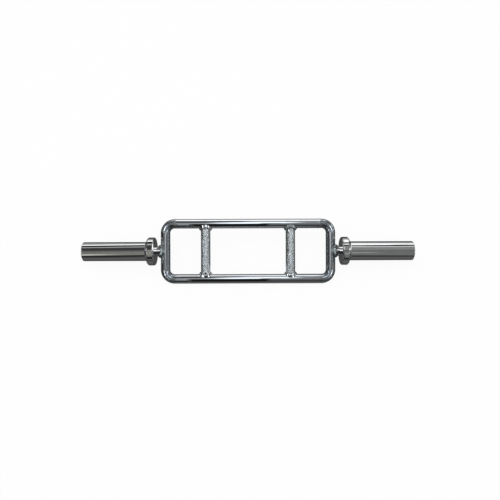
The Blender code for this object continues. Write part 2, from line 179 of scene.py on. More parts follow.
class Sketch:
    """Short calls for adding and joining the nodes of one tree."""

    def __init__(self, tree: Tree) -> None:
        """Start on a tree."""
        self.tree = tree

    def join(self, value: object, socket: Socket) -> None:
        """Lead a socket into another, or set the other to a plain value."""
        if isinstance(value, Socket):
            self.tree.links.new(value, socket)
        else:
            socket.default_value = value

    def add(self, kind: str, settings: dict | None = None, **values: object) -> Node:
        """Add a node.

        Args:
            kind: The node's type, without the word ShaderNode.
            settings: Its properties, such as its operation.
            values: Sockets or plain values for its inputs, by their names with _ for a blank.

        Returns:
            The node.
        """
        node = self.tree.nodes.new(f"ShaderNode{kind}")
        for name, value in (settings or {}).items():
            setattr(node, name, value)
        for name, value in values.items():
            self.join(value, node.inputs[name.replace("_", " ")])
        return node

    def group(self, tree: Tree, **values: float) -> Node:
        """Add a node group, with values for its inputs."""
        return self.add("Group", {"node_tree": tree}, **values)

    def place(self) -> Socket:
        """The surface's place in the bar's own coordinates."""
        return self.add("TexCoord").outputs["Object"]

    def mask(self, name: str) -> Socket:
        """A mask that the mesh holds under a name."""
        return self.add("Attribute", {"attribute_name": name}).outputs["Fac"]

    def math(self, operation: str, *terms: object) -> Socket:
        """Do a sum.

        Args:
            operation: The Math node's operation.
            terms: Numbers or sockets.

        Returns:
            The result's socket.
        """
        node = self.add("Math", {"operation": operation})
        for socket, term in zip(node.inputs, terms):
            self.join(term, socket)
        return node.outputs[0]

    def ramp(self, value: Socket, low: float, high: float, floor: float = 0.0) -> Socket:
        """Map a range of values smoothly onto the stretch from a floor to 1.

        Args:
            value: The value's socket.
            low: The value that gives the floor.
            high: The value that gives 1.
            floor: The floor.

        Returns:
            The result's socket.
        """
        node = self.add("MapRange", {"interpolation_type": "SMOOTHSTEP"}, Value=value, From_Min=low,
                        From_Max=high, To_Min=floor, To_Max=1.0)
        return node.outputs["Result"]

    def blend(self, mask: Socket, first: Colour | Socket, second: Colour) -> Socket:
        """Mix two colours by a mask that changes over the surface.

        Args:
            mask: The mask's socket.
            first: The colour where the mask is 0, or its socket.
            second: The colour where it is 1.

        Returns:
            The colour's socket.
        """
        start = first if isinstance(first, Socket) else (*first, 1.0)
        node = self.add("Mix", {"data_type": "RGBA"}, Factor=mask, A=start, B=(*second, 1.0))
        return node.outputs["Result"]

    def bump(self, height: Socket, depth: float, **under: Socket) -> Socket:
        """Shade a fine relief.

        Args:
            height: The socket of its height.
            depth: What a height of 1 stands for, in metres.
            under: The normal of the relief that it lies on, as Normal.

        Returns:
            The normal's socket.
        """
        return self.add("Bump", Height=height, Strength=1.0, Distance=depth, **under).outputs["Normal"]


def new_group(name: str, **takes: float) -> tuple[Sketch, dict[str, Socket]]:
    """Start a shader node group.

    Args:
        name: The group's name.
        takes: Its inputs' usual values, by their names with _ for a blank.

    Returns:
        A sketch of its tree, and the sockets that bring its inputs, by the same names.
    """
    tree = bpy.data.node_groups.new(name, "ShaderNodeTree")
    for label, value in takes.items():
        socket = tree.interface.new_socket(label.replace("_", " "), in_out="INPUT",
                                           socket_type="NodeSocketFloat")
        socket.default_value = value
    source = tree.nodes.new("NodeGroupInput")
    return Sketch(tree), {label: source.outputs[label.replace("_", " ")] for label in takes}


def put_out(sketch: Sketch, **gives: Socket) -> Tree:
    """Finish a shader node group.

    Args:
        sketch: The sketch of its tree.
        gives: What it puts out, by name.

    Returns:
        The tree.
    """
    for label in gives:
        sketch.tree.interface.new_socket(label, in_out="OUTPUT", socket_type="NodeSocketFloat")
    result = sketch.tree.nodes.new("NodeGroupOutput")
    for label, value in gives.items():
        sketch.join(value, result.inputs[label])
    return sketch.tree


class Effects:
    """The surface effects that more than one finish uses, each a node group built once."""

    def __init__(self) -> None:
        """Build the groups."""
        self.buffing = self._buffing()
        self.handling = self._handling()
        self.lathe = self._lathe()
        self.mottle = self._mottle()

    @staticmethod
    def _buffing() -> Tree:
        """Fine lines left by a buffing wheel, stretched along X."""
        sketch, takes = new_group("buffing_lines", Lines=900.0, Stretch=30.0)
        place = sketch.place()
        parts = sketch.add("SeparateXYZ", Vector=place).outputs
        coarse = sketch.math("DIVIDE", takes["Lines"], takes["Stretch"])
        scales = {"X": coarse, "Y": takes["Lines"], "Z": takes["Lines"]}
        stretched = {axis: sketch.math("MULTIPLY", parts[axis], scale) for axis, scale in scales.items()}
        spot = sketch.add("CombineXYZ", **stretched).outputs["Vector"]
        lines = sketch.add("TexNoise", Vector=spot, Scale=1.0, Detail=4.0, Roughness=0.6).outputs["Fac"]
        cloud = sketch.add("TexNoise", Vector=place, Scale=22.0, Detail=3.0).outputs["Fac"]
        haze = sketch.math("MULTIPLY", sketch.ramp(cloud, 0.35, 0.7), lines)
        return put_out(sketch, Height=lines, Haze=haze)

    @staticmethod
    def _handling() -> Tree:
        """Smudges from hands, and pinholes and specks of dust in the plating."""
        sketch, takes = new_group("handling_marks", Size=40.0, Speck_Size=900.0)
        place = sketch.place()
        broad = sketch.add("TexNoise", Vector=place, Scale=takes["Size"], Detail=5.0, Distortion=1.2)
        cells = sketch.add("TexVoronoi", Vector=place, Scale=takes["Speck_Size"])
        rare = sketch.add("TexNoise", Vector=place, Scale=260.0)
        specks = sketch.math("MULTIPLY", sketch.ramp(cells.outputs["Distance"], 0.22, 0.08),
                             sketch.ramp(rare.outputs["Fac"], 0.55, 0.66))
        return put_out(sketch, Smudge=sketch.ramp(broad.outputs["Fac"], 0.48, 0.72), Specks=specks)

    @staticmethod
    def _lathe() -> Tree:
        """Rings left by a turning tool round the sleeves' axis, on rims and faces alike."""
        sketch, takes = new_group("lathe_rings", Axis_Height=0.037, Rings=1800.0)
        parts = sketch.add("SeparateXYZ", Vector=sketch.place()).outputs
        rise = sketch.math("SUBTRACT", parts["Z"], takes["Axis_Height"])
        squares = [sketch.math("POWER", part, 2.0) for part in (parts["Y"], rise)]
        away = sketch.math("SQRT", sketch.math("ADD", *squares))
        reach = sketch.math("ADD", sketch.math("ABSOLUTE", parts["X"]), away)
        flat = {"noise_dimensions": "1D"}
        rings = sketch.add("TexNoise", flat, W=reach, Scale=takes["Rings"], Detail=2.0).outputs["Fac"]
        broad = sketch.add("TexNoise", flat, W=reach, Scale=150.0, Detail=3.0).outputs["Fac"]
        return put_out(sketch, Height=rings, Haze=sketch.ramp(broad, 0.35, 0.68))

    @staticmethod
    def _mottle() -> Tree:
        """The uneven, peened skin of bar that was bent or welded and plated without a new polish; on the side
        bars its mask also carries painted shade.
        """
        sketch, takes = new_group("mottled_skin", Size=300.0, Always=0.0)
        place = sketch.place()
        mask = sketch.math("MAXIMUM", sketch.mask("worked"), takes["Always"])
        lumps = sketch.add("TexNoise", Vector=place, Scale=takes["Size"], Detail=2.0,
                           Distortion=0.4).outputs["Fac"]
        spots = sketch.add("TexVoronoi", {"feature": "SMOOTH_F1"}, Vector=place,
                           Scale=takes["Size"]).outputs["Distance"]
        mixed = sketch.math("ADD", lumps, sketch.math("MULTIPLY", spots, 0.25))
        uneven = sketch.math("MULTIPLY", mask, sketch.ramp(lumps, 0.3, 0.65, 0.5))
        return put_out(sketch, Height=sketch.math("MULTIPLY", mixed, mask), Mask=uneven)


def new_material(name: str, metallic: float = 1.0) -> tuple[Material, Sketch, Node]:
    """Start a material.

    Args:
        name: The material's name.
        metallic: 1 for a metal and 0 for anything else.

    Returns:
        The material, a sketch of its tree and its Principled shader.
    """
    material = bpy.data.materials.new(name)
    material.use_nodes = True
    shader = material.node_tree.nodes["Principled BSDF"]
    shader.inputs["Metallic"].default_value = metallic
    return material, Sketch(material.node_tree), shader


@dataclass(frozen=True)
class PolishedChrome:
    """Mirror plating: fine lines, smudges, and a mottled skin where the bar was worked, whose darker colour
    is partly dull plating and partly painted shade on the bends and side bars.
    """

    name: str
    colour: Colour = (0.85, 0.89, 0.93)
    smudged: Colour = (0.78, 0.81, 0.84)
    # Worn colour: partly dull plating on worked bar, partly painted shade on the bends and side bars.
    worn: Colour = (0.38, 0.42, 0.46)
    polish: float = 0.012
    smudge_roughness: float = 0.05
    worked_roughness: float = 0.26
    haze: float = 0.015
    lines: float = 700.0
    line_depth: float = 0.000004
    mottle_depth: float = 0.00008
    turned: bool = False

    def build(self, effects: Effects, places: Places) -> Material:
        """Make the material.

        Args:
            effects: The shared effects.
            places: Where the sleeves' axis lies, for rings about it.

        Returns:
            The material.
        """
        material, sketch, shader = new_material(self.name)
        smudges = sketch.group(effects.handling, Size=34.0, Speck_Size=1100.0).outputs["Smudge"]
        skin = sketch.group(effects.mottle, Size=260.0).outputs
        if self.turned:
            lines = sketch.group(effects.lathe, Axis_Height=places.axis_height, Rings=self.lines).outputs
        else:
            lines = sketch.group(effects.buffing, Lines=self.lines).outputs
        handled = sketch.blend(smudges, self.colour, self.smudged)
        # The worked mask's darker colour is dull plating and painted shade together.
        sketch.join(sketch.blend(skin["Mask"], handled, self.worn), shader.inputs["Base Color"])
        smudged = sketch.math("MULTIPLY", smudges, self.smudge_roughness - self.polish)
        worked = sketch.math("MULTIPLY", skin["Mask"], self.worked_roughness - self.polish)
        polished = sketch.math("MULTIPLY_ADD", lines["Haze"], self.haze, self.polish)
        rough = sketch.math("ADD", sketch.math("MAXIMUM", smudged, worked), polished)
        sketch.join(rough, shader.inputs["Roughness"])
        fine = sketch.bump(lines["Height"], self.line_depth)
        sketch.join(sketch.bump(skin["Height"], self.mottle_depth, Normal=fine), shader.inputs["Normal"])
        return material


@dataclass(frozen=True)
class TwoToneMetal:
    """A metal whose colour and roughness follow a mask, with a fine relief. Each kind has its own pattern."""

    name: str
    colour: Colour
    second_colour: Colour
    roughness: float
    second_roughness: float
    depth: float

    def build(self, effects: Effects, places: Places) -> Material:
        """Make the material.

        Args:
            effects: The shared effects.
            places: Where the sleeves' axis lies, for rings about it.

        Returns:
            The material.
        """
        material, sketch, shader = new_material(self.name)
        mask, height = self.pattern(sketch, effects, places)
        sketch.join(sketch.blend(mask, self.colour, self.second_colour), shader.inputs["Base Color"])
        rough = sketch.math("MULTIPLY_ADD", mask, self.second_roughness - self.roughness, self.roughness)
        sketch.join(rough, shader.inputs["Roughness"])
        sketch.join(sketch.bump(height, self.depth), shader.inputs["Normal"])
        return material

    def pattern(self, sketch: Sketch, effects: Effects, places: Places) -> tuple[Socket, Socket]:
        """The mask of the second colour, and the height of the relief."""
        raise NotImplementedError


@dataclass(frozen=True)
class KnurlPlating(TwoToneMetal):
    """Satin plating over a cut knurl, with painted shade: a darker colour down in the grooves."""

    name: str = "knurl_plating"
    colour: Colour = (0.92, 0.96, 0.98)
    second_colour: Colour = (0.76, 0.81, 0.83)
    roughness: float = 0.18
    second_roughness: float = 0.32
    depth: float = 0.00003

    def pattern(self, sketch: Sketch, effects: Effects, places: Places) -> tuple[Socket, Socket]:
        """Painted shade in the grooves, and real smudges, over a grain."""
        marks = sketch.group(effects.handling, Size=120.0, Speck_Size=700.0)
        patches = sketch.math("MULTIPLY", marks.outputs["Smudge"], 0.5)
        grain = sketch.add("TexNoise", Vector=sketch.place(), Scale=2600.0, Detail=3.0)
        # The groove mask paints shade into the grooves with the darker colour; the smudge patches are real
        # marks.
        return sketch.math("MAXIMUM", sketch.mask("groove"), patches), grain.outputs["Fac"]


@dataclass(frozen=True)
class WeldPlating(TwoToneMetal):
    """Plating over rippled weld metal: bright on the crests, and duller between them, with a darker colour
    there that is painted shade.
    """

    name: str = "weld_plating"
    colour: Colour = (0.94, 0.96, 0.98)
    second_colour: Colour = (0.66, 0.69, 0.71)
    roughness: float = 0.06
    second_roughness: float = 0.22
    depth: float = 0.00012

    def pattern(self, sketch: Sketch, effects: Effects, places: Places) -> tuple[Socket, Socket]:
        """Painted shade in the low spots, and specks, over lumps."""
        skin = sketch.group(effects.mottle, Size=420.0, Always=1.0).outputs
        marks = sketch.group(effects.handling, Size=160.0, Speck_Size=1500.0)
        # The darker colour on the low spots is painted shade; the specks are real pinholes and dust.
        painted_low_shade = sketch.math("MULTIPLY_ADD", skin["Mask"], 1.2, -0.6)
        return sketch.math("MAXIMUM", painted_low_shade, marks.outputs["Specks"]), skin["Height"]


@dataclass(frozen=True)
class TurnedMetal(TwoToneMetal):
    """Bare metal from the lathe, with a film of grease that gathers in patches."""

    depth: float = 0.00002
    rings: float = 1800.0

    def pattern(self, sketch: Sketch, effects: Effects, places: Places) -> tuple[Socket, Socket]:
        """The film of grease, over the rings that the tool left."""
        rings = sketch.group(effects.lathe, Axis_Height=places.axis_height, Rings=self.rings).outputs
        marks = sketch.group(effects.handling, Size=90.0, Speck_Size=1300.0)
        shaded = sketch.math("MULTIPLY", rings["Haze"], 0.4)
        return sketch.math("MAXIMUM", marks.outputs["Smudge"], shaded), rings["Height"]


def seen_share(sketch: Sketch) -> Socket:
    """1 for rays that look at a surface, straight or by way of metal or glass, and 0 for those that light."""
    path = sketch.add("LightPath").outputs
    mirrored = sketch.math("MAXIMUM", path["Is Glossy Ray"], path["Is Transmission Ray"])
    return sketch.math("MAXIMUM", path["Is Camera Ray"], mirrored)


@dataclass(frozen=True)
class PaleFloor:
    """A matt floor that looks clear white and keeps a faint shadow."""

    name: str = "pale_floor"
    colour: Colour = (0.95, 0.95, 0.95)
    shade: Colour = (0.93, 0.93, 0.93)
    roughness: float = 0.9
    sheen: float = 0.1
    clear_share: float = 0.93

    def build(self) -> Material:
        """Make the material."""
        material, sketch, shader = new_material(self.name, metallic=0.0)
        cloud = sketch.add("TexNoise", Vector=sketch.place(), Scale=2.0, Detail=3.0).outputs["Fac"]
        sketch.join(sketch.blend(cloud, self.colour, self.shade), shader.inputs["Base Color"])
        shader.inputs["Roughness"].default_value = self.roughness
        shader.inputs["Specular IOR Level"].default_value = self.sheen
        mix = sketch.add("MixShader")
        clear = sketch.math("MULTIPLY", seen_share(sketch), self.clear_share)
        white = sketch.add("Emission", Strength=1.0)
        for socket, value in zip(mix.inputs, (clear, shader.outputs[0], white.outputs[0])):
            sketch.join(value, socket)
        sketch.join(mix.outputs[0], sketch.tree.nodes["Material Output"].inputs["Surface"])
        return material


class Finishes:
    """The finished materials, by the slots that they stand for."""

    def __init__(self, effects: Effects, places: Places) -> None:
        """Build every material once.

        Args:
            effects: The shared effects.
            places: The bar's main lines.
        """
        self.rail = PolishedChrome("rail_chrome").build(effects, places)
        self.turned = PolishedChrome("turned_chrome", (0.88, 0.89, 0.90), (0.80, 0.81, 0.80), lines=2200.0,
                                     line_depth=0.000003, turned=True).build(effects, places)
        self.knurl = KnurlPlating().build(effects, places)
        self.weld = WeldPlating().build(effects, places)
        self.dull_weld = WeldPlating("dull_weld_plating", (0.40, 0.45, 0.44), (0.29, 0.33, 0.32), 0.3, 0.46,
                                     0.00004).build(effects, places)
        self.journal, self.washer, self.spring, self.bronze = (metal.build(effects, places) for metal in (
            TurnedMetal("turned_journal", (0.66, 0.67, 0.69), (0.42, 0.40, 0.36), 0.16, 0.4),
            TurnedMetal("ground_washer", (0.55, 0.55, 0.56), (0.38, 0.37, 0.35), 0.3, 0.45),
            TurnedMetal("oiled_spring_steel", (0.13, 0.13, 0.14), (0.07, 0.07, 0.07), 0.3, 0.5),
            TurnedMetal("sintered_bronze", (0.62, 0.42, 0.20), (0.42, 0.27, 0.12), 0.32, 0.5),
        ))



def new_object(name: str, data: bpy.types.ID) -> bpy.types.Object:
    """Put a new object in the scene."""
    item = bpy.data.objects.new(name, data)
    bpy.context.scene.collection.objects.link(item)
    return item


def give_masks(mesh: bpy.types.Mesh, masks: dict[str, list[float]]) -> None:
    """Store masks, which hold a value for each point, where the materials find them."""
    for label, values in masks.items():
        attribute = mesh.attributes.new(label, "FLOAT", "POINT")
        attribute.data.foreach_set("value", values)


@dataclass
class Piece:
    """One visible piece while it is being made: its points, faces, and masks for its material."""

    name: str
    points: list[Vector]
    faces: Faces
    masks: dict[str, list[float]] = field(default_factory=dict)

    def finish(self, place: Matrix, material: Material, body: str, slot: Slot,
               replaces: Sequence[str], smooth_angle: float = SMOOTH_ANGLE) -> bpy.types.Object:
        """Make the object and hang it on its body.

        Args:
            place: What carries the piece's own coordinates to the row frame.
            material: Its finish.
            body: The body that it rides on.
            slot: The record's slot for it; not used.
            replaces: The solids that it stands for.
            smooth_angle: The angle above which an edge stays sharp.

        Returns:
            The object.
        """
        mesh = bpy.data.meshes.new(self.name)
        mesh.from_pydata([place @ point for point in self.points], [], self.faces)
        edited = bmesh.new()
        edited.from_mesh(mesh)
        bmesh.ops.recalc_face_normals(edited, faces=edited.faces)
        edited.to_mesh(mesh)
        edited.free()
        give_masks(mesh, self.masks)
        mesh.shade_smooth()
        mesh.set_sharp_from_angle(angle=smooth_angle)
        mesh.materials.append(material)
        piece = new_object(self.name, mesh)
        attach(piece, body)
        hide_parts(*replaces)
        LOG.info("%s: %d faces, on %s", self.name, len(mesh.polygons), body)
        return piece


def curve_point(start: Vector, control: Vector, end: Vector, share: float) -> Vector:
    """The point at a share of the way along a curve that a control point pulls out."""
    return start * (1 - share) ** 2 + control * 2 * share * (1 - share) + end * share**2


def plane_way(angle: float) -> Vector:
    """The way in the frame's plane at an angle from X."""
    return Vector((math.cos(angle), math.sin(angle), 0.0))


def spokes(count: int) -> list[Vector]:
    """Evenly spaced ways out from the X axis, from Y towards Z."""
    angles = [step / count * math.tau for step in range(count)]
    return [Vector((0.0, math.cos(angle), math.sin(angle))) for angle in angles]


def eased(profile: Profile, radius: float, closed: bool, steps: int = 4) -> Profile:
    """Round a profile's corners a little, and hold each straight stretch straight between them.

    Args:
        profile: (radius, distance) pairs.
        radius: How far from a corner its rounding starts.
        closed: Whether the profile is a loop.
        steps: The faces in each rounding.

    Returns:
        The new profile.
    """
    result: Profile = []
    count = len(profile)
    for index, (across, along) in enumerate(profile):
        corner = Vector((across, along))
        if not closed and index in (0, count - 1):
            result.append((across, along))
            continue
        before = Vector(profile[index - 1]) - corner
        after = Vector(profile[(index + 1) % count]) - corner
        cut = min(radius, 0.4 * before.length, 0.4 * after.length)
        start = corner + before.normalized() * cut
        end = corner + after.normalized() * cut
        if before.length > 4 * cut:
            result.append(tuple(start + before.normalized() * cut * 0.5))
        for step in range(steps + 1):
            result.append(tuple(curve_point(start, corner, end, step / steps)))
        if after.length > 4 * cut:
            result.append(tuple(end + after.normalized() * cut * 0.5))
    return result


def turned(profile: Profile, sides: int, side: Side, closed: bool) -> tuple[list[Vector], Faces]:
    """Turn a profile about X.

    Args:
        profile: (radius, distance from the bar's middle) pairs. Radius 0 makes a pole.
        sides: The flats round the axis.
        side: The end of the bar.
        closed: Whether the profile is a loop, which makes a ring.

    Returns:
        The points and the faces.
    """
    points: list[Vector] = []
    rings: list[list[int]] = []
    for radius, distance in profile:
        count = 1 if radius < 1e-7 else sides
        rings.append(list(range(len(points), len(points) + count)))
        for step in range(count):
            angle = step / sides * math.tau
            points.append(Vector((side.value * distance, radius * math.cos(angle), radius * math.sin(angle))))
    pairs = list(zip(rings, rings[1:]))
    if closed:
        pairs.append((rings[-1], rings[0]))
    faces: Faces = []
    for first, second in pairs:
        for step in range(sides):
            following = (step + 1) % sides
            loop = [first[step % len(first)], first[following % len(first)],
                    second[following % len(second)], second[step % len(second)]]
            face = tuple(dict.fromkeys(loop))
            if len(face) > 2:
                faces.append(face)
    return points, faces


def tube_faces(rings: int, sides: int, looped: bool, capped: bool) -> Faces:
    """The faces of a tube whose rings of points follow each other.

    Args:
        rings: How many rings there are.
        sides: The points in each.
        looped: Whether the last ring joins the first.
        capped: Whether its ends are closed.

    Returns:
        The faces.
    """
    faces: Faces = []
    for ring in range(rings if looped else rings - 1):
        base = ring * sides
        above = (ring + 1) % rings * sides
        for step in range(sides):
            following = (step + 1) % sides
            faces.append((base + step, base + following, above + following, above + step))
    if capped:
        faces.append(tuple(range(sides)))
        faces.append(tuple(range((rings - 1) * sides, rings * sides)))
    return faces


@dataclass(frozen=True)
class Station:
    """A place on a bar's centreline, with the way out of the loop and how hard the bar was worked there,
    which on the side bars also stands for painted shade.
    """

    point: Vector
    outward: Vector
    distance: float
    worked: float
    share: float = 1.0


@dataclass
class BentBar:
    """A round bar of the frame, straight or bent, with the small unevenness that plating shows up."""

    radius: float
    sides: int = 72
    straight_step: float = 0.005
    waviness: float = 0.000035
    wave_size: float = 30.0
    flattening: float = 0.014
    wrinkle: float = 0.00007
    wrinkle_pitch: float = 0.0058
    dent: float = 0.00004
    dent_size: float = 240.0

    def skin(self, name: str, stations: Sequence[Station]) -> Piece:
        """Wrap the bar round its stations.

        Args:
            name: The piece's name.
            stations: The bar's centreline, in the frame's plane.

        Returns:
            The piece.
        """
        points: list[Vector] = []
        worked: list[float] = []
        for station in stations:
            for step in range(self.sides):
                angle = step / self.sides * math.tau
                way = station.outward * math.cos(angle) + Vector((0.0, 0.0, math.sin(angle)))
                radius = self.radius * station.share + self._unevenness(station, way, math.cos(angle))
                points.append(station.point + way * radius)
                worked.append(station.worked)
        faces = tube_faces(len(stations), self.sides, looped=False, capped=True)
        return Piece(name, points, faces, {"worked": worked})

    def _unevenness(self, station: Station, way: Vector, outside: float) -> float:
        """How far the skin stands off a true round bar.

        Args:
            station: The place on the centreline.
            way: The way out from the centreline.
            outside: 1 on the outer side of a bend, -1 on its inner side.

        Returns:
            The distance, in metres.
        """
        spot = station.point + way * self.radius
        height = self.waviness * (noise.noise(spot * self.wave_size) - 1)
        if station.worked <= 0:
            return height
        flat = -self.radius * self.flattening * outside**2
        phase = math.tau * station.distance / self.wrinkle_pitch
        folds = self.wrinkle * max(0.0, -outside) ** 2 * math.sin(phase)
        dents = self.dent * noise.noise(spot * self.dent_size)
        return height + station.worked * (flat + folds + dents)


@dataclass(frozen=True)
class Section:
    """A cut across a weld bead, from its corner to its toes, with the point that pulls its face out."""

    corner: Vector
    first_toe: Vector
    second_toe: Vector
    outward: Vector
    crown: Vector


@dataclass(frozen=True)
class WeldBead:
    """Rippled weld metal that runs round a joint."""

    ripple_pitch: float = 0.0024
    ripple_height: float = 0.00028
    ripple_bow: float = 0.9
    lump: float = 0.0004
    lump_size: float = 190.0
    root: float = 0.0016
    face_steps: int = 8

    def skin(self, name: str, sections: Sequence[Section], seed: float) -> Piece:
        """Lay the bead.

        Args:
            name: The piece's name.
            sections: Its cuts in order round the joint, of which the last joins the first.
            seed: Which pattern of lumps it has.

        Returns:
            The piece.
        """
        points: list[Vector] = []
        travelled = 0.0
        lengths = [(b.corner - a.corner).length for a, b in zip(sections, [*sections[1:], sections[0]])]
        ripples = max(1, round(sum(lengths) / self.ripple_pitch))
        for section, length in zip(sections, lengths):
            turn = travelled / sum(lengths) * ripples
            points += self._cut(section, turn, seed)
            travelled += length
        faces = tube_faces(len(sections), self.face_steps + 2, looped=True, capped=False)
        return Piece(name, points, faces)

    def _cut(self, section: Section, turn: float, seed: float) -> list[Vector]:
        """The points of one cut: over the face from toe to toe, and back through the root."""
        points = []
        for step in range(self.face_steps + 1):
            share = step / self.face_steps
            point = curve_point(section.first_toe, section.crown, section.second_toe, share)
            middle = 4 * share * (1 - share)
            phase = turn + self.ripple_bow * (2 * share - 1) ** 2
            ripple = abs(math.sin(math.pi * phase)) - 0.5
            lump = noise.noise(point * self.lump_size + Vector((seed, 0.0, 0.0)))
            points.append(point + section.outward * middle * (self.ripple_height * ripple + self.lump * lump))
        points.append(section.corner - section.outward * self.root)
        return points


@dataclass(frozen=True)
class Saddle:
    """The shape of a bead round the end of a bar that meets another bar of the same size."""

    bar_leg: float
    branch_leg: float
    rounding: float
    crown: float
    low_crown: float
    uneven: float
    bead: WeldBead
    branch_neck: float = 0.0
    lean: float = 0.0
    count: int = 144
    uneven_size: float = 180.0

    def sections(self, radius: float, seed: float) -> list[Section]:
        """Cut the bead for a joint at the origin, where one bar lies along X and the other leaves towards -Y.

        Args:
            radius: Both bars' radius.
            seed: Which pattern its uneven width has.

        Returns:
            The cuts, in order round the joint.
        """
        angles = [step / self.count * math.tau for step in range(self.count)]
        spots = []
        for angle in angles:
            depth = radius * math.sin(angle)
            drop = math.sqrt(radius**2 + self.rounding**2 - depth**2)
            spots.append(Vector((radius * math.cos(angle), -drop, depth)))
        sections = []
        for step, (angle, spot) in enumerate(zip(angles, spots)):
            tangent = (spots[(step + 1) % self.count] - spots[step - 1]).normalized()
            branch_way = Vector((math.cos(angle), 0.0, math.sin(angle)))
            bar_way = Vector((0.0, spot.y, spot.z)).normalized()
            uneven = 1 + self.uneven * noise.noise(spot * self.uneven_size + Vector((0.0, seed, 0.0)))
            branch_skin = self._downwards(tangent.cross(branch_way))
            branch_toe = spot + branch_skin * self.branch_leg * uneven
            branch_scale = (radius - self.branch_neck) / math.hypot(branch_toe.x, branch_toe.z)
            branch_toe = Vector((branch_toe.x * branch_scale, branch_toe.y, branch_toe.z * branch_scale))
            bar_toe = spot + self._outwards(bar_way.cross(tangent), branch_way) * self.bar_leg * uneven
            bar_scale = radius / math.hypot(bar_toe.y, bar_toe.z)
            bar_toe = Vector((bar_toe.x, bar_toe.y * bar_scale, bar_toe.z * bar_scale))
            front = math.sin(angle) ** 2
            crown = self.crown if math.sin(angle) > 0 else self.low_crown
            outward = (branch_way + bar_way).normalized()
            bulge = self.branch_leg * 0.95 * (1 - front) + 2 * crown * front
            shift = self.lean + (self.bar_leg - self.branch_leg) / 2
            peak = spot + outward * bulge * uneven + branch_skin * front * shift
            sections.append(Section(spot, bar_toe, branch_toe, outward, peak))
        return sections

    @staticmethod
    def _downwards(way: Vector) -> Vector:
        """A way along the leaving bar, turned so that it leads away from the joint."""
        return -way if way.y > 0 else way

    @staticmethod
    def _outwards(way: Vector, branch_way: Vector) -> Vector:
        """A way over the other bar, turned so that it leads away from the leaving bar."""
        return -way if way.dot(branch_way) + 0.3 * way.y < 0 else way


